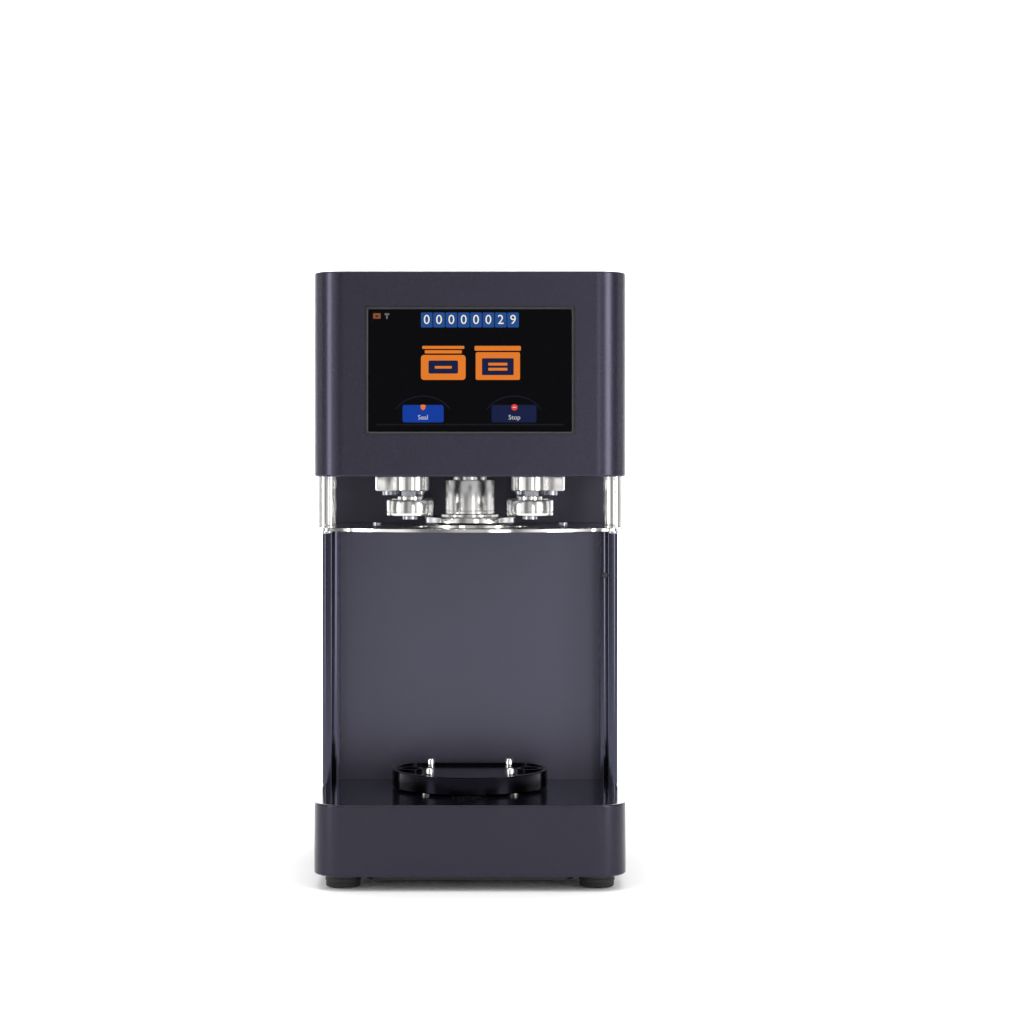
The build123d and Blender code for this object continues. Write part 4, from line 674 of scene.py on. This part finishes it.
def build_display():
    """The lit picture: a count row, an emblem of a jar and a can, two buttons and two status icons."""
    half_x = (glass_high.x - glass_low.x) / 2 / MM
    half_z = (glass_high.z - glass_low.z) / 2 / MM
    band_low = -half_z + BAND_LOW
    band = bar(-half_x + BAND_INSET, half_x - BAND_INSET, band_low, band_low + BAND_HEIGHT)
    flat_shape("picture_band", [band], BAND, 1)

    tile = bmesh.new()
    add_slab(tile, rectangle(*TILE_SIZE, TILE_ROUND), 0.0, LAYER, on_tile)
    first = on_screen(ROW_START, ROW_HEIGHT, LIFT)
    settings = {"Count": len(COUNT), "Pitch": (TILE_PITCH * MM, 0, 0), "Start": first}
    repeated("count_tiles", tile, settings, TILE, "root")
    for place, digit in enumerate(COUNT):
        words(f"count_{place}", digit, ROW_START + place * TILE_PITCH, ROW_HEIGHT, DIGIT_SIZE, DIGIT)

    flat_shape("status_icon", [bar(-77, -71, 41.2, 45.6, 0.6)], RUST, 1)
    flat_shape("status_latch", [bar(-75.2, -72.8, 42.6, 43.8, 0.3)], BAND, 2)
    wrench = [bar(-66.7, -65.3, 41.0, 45.0, 0.5), bar(-68, -64, 44.0, 45.6, 0.7)]
    flat_shape("tool_icon", wrench, FAINT, 1)

    jar = [bar(-39, -3.5, -7.4, 12.4, 2.4), bar(-36, -6.5, 13.6, 16.2, 0.8)]
    jar.append(bar(-38, -4.5, 17.2, 19.6, 0.8))
    can = [bar(4.5, 39.7, -7.4, 14.6, 1.2), bar(3.6, 40.4, 15.8, 19.6, 0.9)]
    flat_shape("emblem_jars", jar + can, ORANGE, 1)
    window = [bar(-33, -9.5, -2.4, 8.0, 1.2), bar(9.5, 34.7, -3.6, 9.8, 0.8)]
    flat_shape("emblem_labels", window, NAVY, 2)
    lines = [bar(-28, -14.5, 1.6, 3.6, 0.4), bar(14.5, 29.7, 0.0, 2.2, 0.4)]
    lines.append(bar(14.5, 29.7, 4.0, 6.2, 0.4))
    flat_shape("emblem_lines", lines, ORANGE, 3)

    flat_shape("seal_button", [bar(-53.6, -21, BUTTON_LOW, BUTTON_HIGH, BUTTON_ROUND)], BUTTON, 1)
    flat_shape("stop_button", [bar(17.1, 52.8, BUTTON_LOW, BUTTON_HIGH, BUTTON_ROUND)], NAVY, 1)
    shield = [(0, -2.4), (1.7, -1.0), (2.1, 1.7), (0, 2.3), (-2.1, 1.7), (-1.7, -1.0)]
    flat_shape("seal_icon", [moved(shield, SEAL_X, ICON_HEIGHT)], ORANGE, 2)
    flat_shape("stop_icon", [moved(rectangle(5.0, 5.0, 2.4), STOP_X, ICON_HEIGHT)], RED, 2)
    flat_shape("stop_bar", [bar(34.0, 36.6, -29.6, -28.8)], INK, 3)
    words("seal_word", "Seal", SEAL_X, WORD_HEIGHT, WORD_SIZE, INK)
    words("stop_word", "Stop", STOP_X, WORD_HEIGHT, WORD_SIZE, INK)
    for name, middle_x in (("seal_arc", SEAL_X), ("stop_arc", 35.0)):
        build_arc(name, middle_x)


def build_arc(name, middle_x):
    """A faint thin arc over a button."""
    outer = []
    inner = []
    for step in range(ARC_STEPS + 1):
        angle = math.radians(30 + 120 * step / ARC_STEPS)
        for line, (wide, high) in ((outer, ARC_OUTER), (inner, ARC_INNER)):
            line.append((middle_x + wide * math.cos(angle), ARC_LOW + high * math.sin(angle)))
    flat_shape(name, [outer + inner[::-1]], ARC, 1)


build_display()

# ---------------------------------------------------------------- floor, light and camera


FLOOR_HALF_WIDTH = 6.0
FLOOR_FRONT = -3.2
FLOOR_BACK = 2.6
FLOOR_BEND = 1.2
BEND_STEPS = 12
BACKDROP_HEIGHT = 5.0
FLOOR_DROP = 0.0005
MIDDLE = (0.0, 0.0, 0.25)
WORLD_LIGHT = 1.2
# Brightness round the horizon, from 0 straight behind the machine to 1 straight behind the camera.
WORLD_STOPS = (
    (0.45, 1.0), (0.52, 0.15), (0.6, 0.12), (0.66, 1.0), (0.8, 1.0), (0.86, 0.2), (0.92, 0.2), (0.965, 0.5),
)
WORLD_BEHIND = 0.5
LENS = 89.7
CAMERA_SPOT = (0.0, -2.175, 0.3467)
CAMERA_SHIFT = (0.041, -0.0557)


def build_stage():
    """A pale seamless floor that curves up behind."""
    floor_paint = Paint("pale_floor")
    mottle = floor_paint.noise(3.0, detail=3.0)
    pale = floor_paint.blend(mottle, rgb(243, 243, 244), rgb(250, 250, 250))
    floor_paint.set(Base_Color=pale, Roughness=0.75)
    bend_start = FLOOR_BACK - FLOOR_BEND
    side = [(FLOOR_FRONT, 0.0), (bend_start, 0.0)]
    for step in range(1, BEND_STEPS + 1):
        angle = math.radians(90 * step / BEND_STEPS)
        height = FLOOR_BEND - FLOOR_BEND * math.cos(angle)
        side.append((bend_start + FLOOR_BEND * math.sin(angle), height))
    side.append((FLOOR_BACK, BACKDROP_HEIGHT))
    sweep = bmesh.new()
    left = [sweep.verts.new((-FLOOR_HALF_WIDTH, y, z - FLOOR_DROP)) for y, z in side]
    right = [sweep.verts.new((FLOOR_HALF_WIDTH, y, z - FLOOR_DROP)) for y, z in side]
    for index in range(len(side) - 1):
        sweep.faces.new([left[index], right[index], right[index + 1], left[index + 1]])
    bmesh.ops.recalc_face_normals(sweep, faces=sweep.faces)
    mesh = bpy.data.meshes.new("pale_sweep")
    sweep.to_mesh(mesh)
    sweep.free()
    mesh.shade_smooth()
    mesh.materials.append(floor_paint.material)
    ground = bpy.data.objects.new("pale_sweep", mesh)
    bpy.context.scene.collection.objects.link(ground)


def add_panel_light(name, place, target, width, height, power):
    """A soft rectangular light at place that points at target."""
    data = bpy.data.lights.new(name, "AREA")
    data.shape = "RECTANGLE"
    data.size = width
    data.size_y = height
    data.energy = power
    lamp = bpy.data.objects.new(name, data)
    lamp.location = place
    aim = Vector(target) - Vector(place)
    lamp.rotation_euler = aim.to_track_quat("-Z", "Y").to_euler()
    bpy.context.scene.collection.objects.link(lamp)


def build_world():
    """White all round, but for dark upright flags that draw streaks on polished steel."""
    world = bpy.data.worlds.new("studio")
    bpy.context.scene.world = world
    world.use_nodes = True
    tree = world.node_tree
    facing = tree.nodes.new("ShaderNodeTexCoord")
    split = tree.nodes.new("ShaderNodeSeparateXYZ")
    turn = tree.nodes.new("ShaderNodeMath")
    turn.operation = "ARCTAN2"
    halves = tree.nodes.new("ShaderNodeMath")
    halves.operation = "ABSOLUTE"
    part = tree.nodes.new("ShaderNodeMath")
    part.operation = "DIVIDE"
    part.inputs[1].default_value = math.pi
    shade = tree.nodes.new("ShaderNodeValToRGB")
    join = tree.links.new
    join(facing.outputs["Generated"], split.inputs["Vector"])
    join(split.outputs["X"], turn.inputs[0])
    join(split.outputs["Y"], turn.inputs[1])
    join(turn.outputs["Value"], halves.inputs[0])
    join(halves.outputs["Value"], part.inputs[0])
    join(part.outputs["Value"], shade.inputs["Fac"])
    join(shade.outputs["Color"], tree.nodes["Background"].inputs["Color"])
    stops = shade.color_ramp.elements
    stops[0].position, stops[0].color = 0.0, (1.0, 1.0, 1.0, 1.0)
    stops[1].position, stops[1].color = 1.0, (WORLD_BEHIND, WORLD_BEHIND, WORLD_BEHIND, 1.0)
    for place, level in WORLD_STOPS:
        stops.new(place).color = (level, level, level, 1.0)
    tree.nodes["Background"].inputs["Strength"].default_value = WORLD_LIGHT


def build_lights():
    """Tall soft boxes at both sides, one over the machine, a faint one in front, and a wash behind."""
    for name, place, target, width, height, power in (
        ("left_box", (-1.5, -0.95, 0.6), MIDDLE, 0.35, 2.2, 16),
        ("right_box", (1.4, -1.25, 0.6), MIDDLE, 0.5, 2.2, 22),
        ("top_box", (0.0, -0.7, 1.9), MIDDLE, 1.6, 0.8, 14),
        ("front_box", (0.7, -2.5, 0.3), MIDDLE, 0.5, 1.4, 5),
        ("back_wash", (0.0, 1.2, 1.6), (0.0, 2.5, 0.4), 3.0, 1.2, 90),
    ):
        add_panel_light(name, place, target, width, height, power)


def build_camera():
    """A level camera straight in front, with its picture shifted across and down."""
    data = bpy.data.cameras.new("camera")
    data.sensor_width = 36.0
    data.lens = LENS
    data.shift_x, data.shift_y = CAMERA_SHIFT
    data.clip_start = 0.05
    camera = bpy.data.objects.new("camera", data)
    camera.location = CAMERA_SPOT
    camera.rotation_euler = (math.radians(90), 0.0, 0.0)
    bpy.context.scene.collection.objects.link(camera)
    bpy.context.scene.camera = camera


build_stage()
build_world()
build_lights()
build_camera()
bpy.context.scene.view_settings.view_transform = "Standard"

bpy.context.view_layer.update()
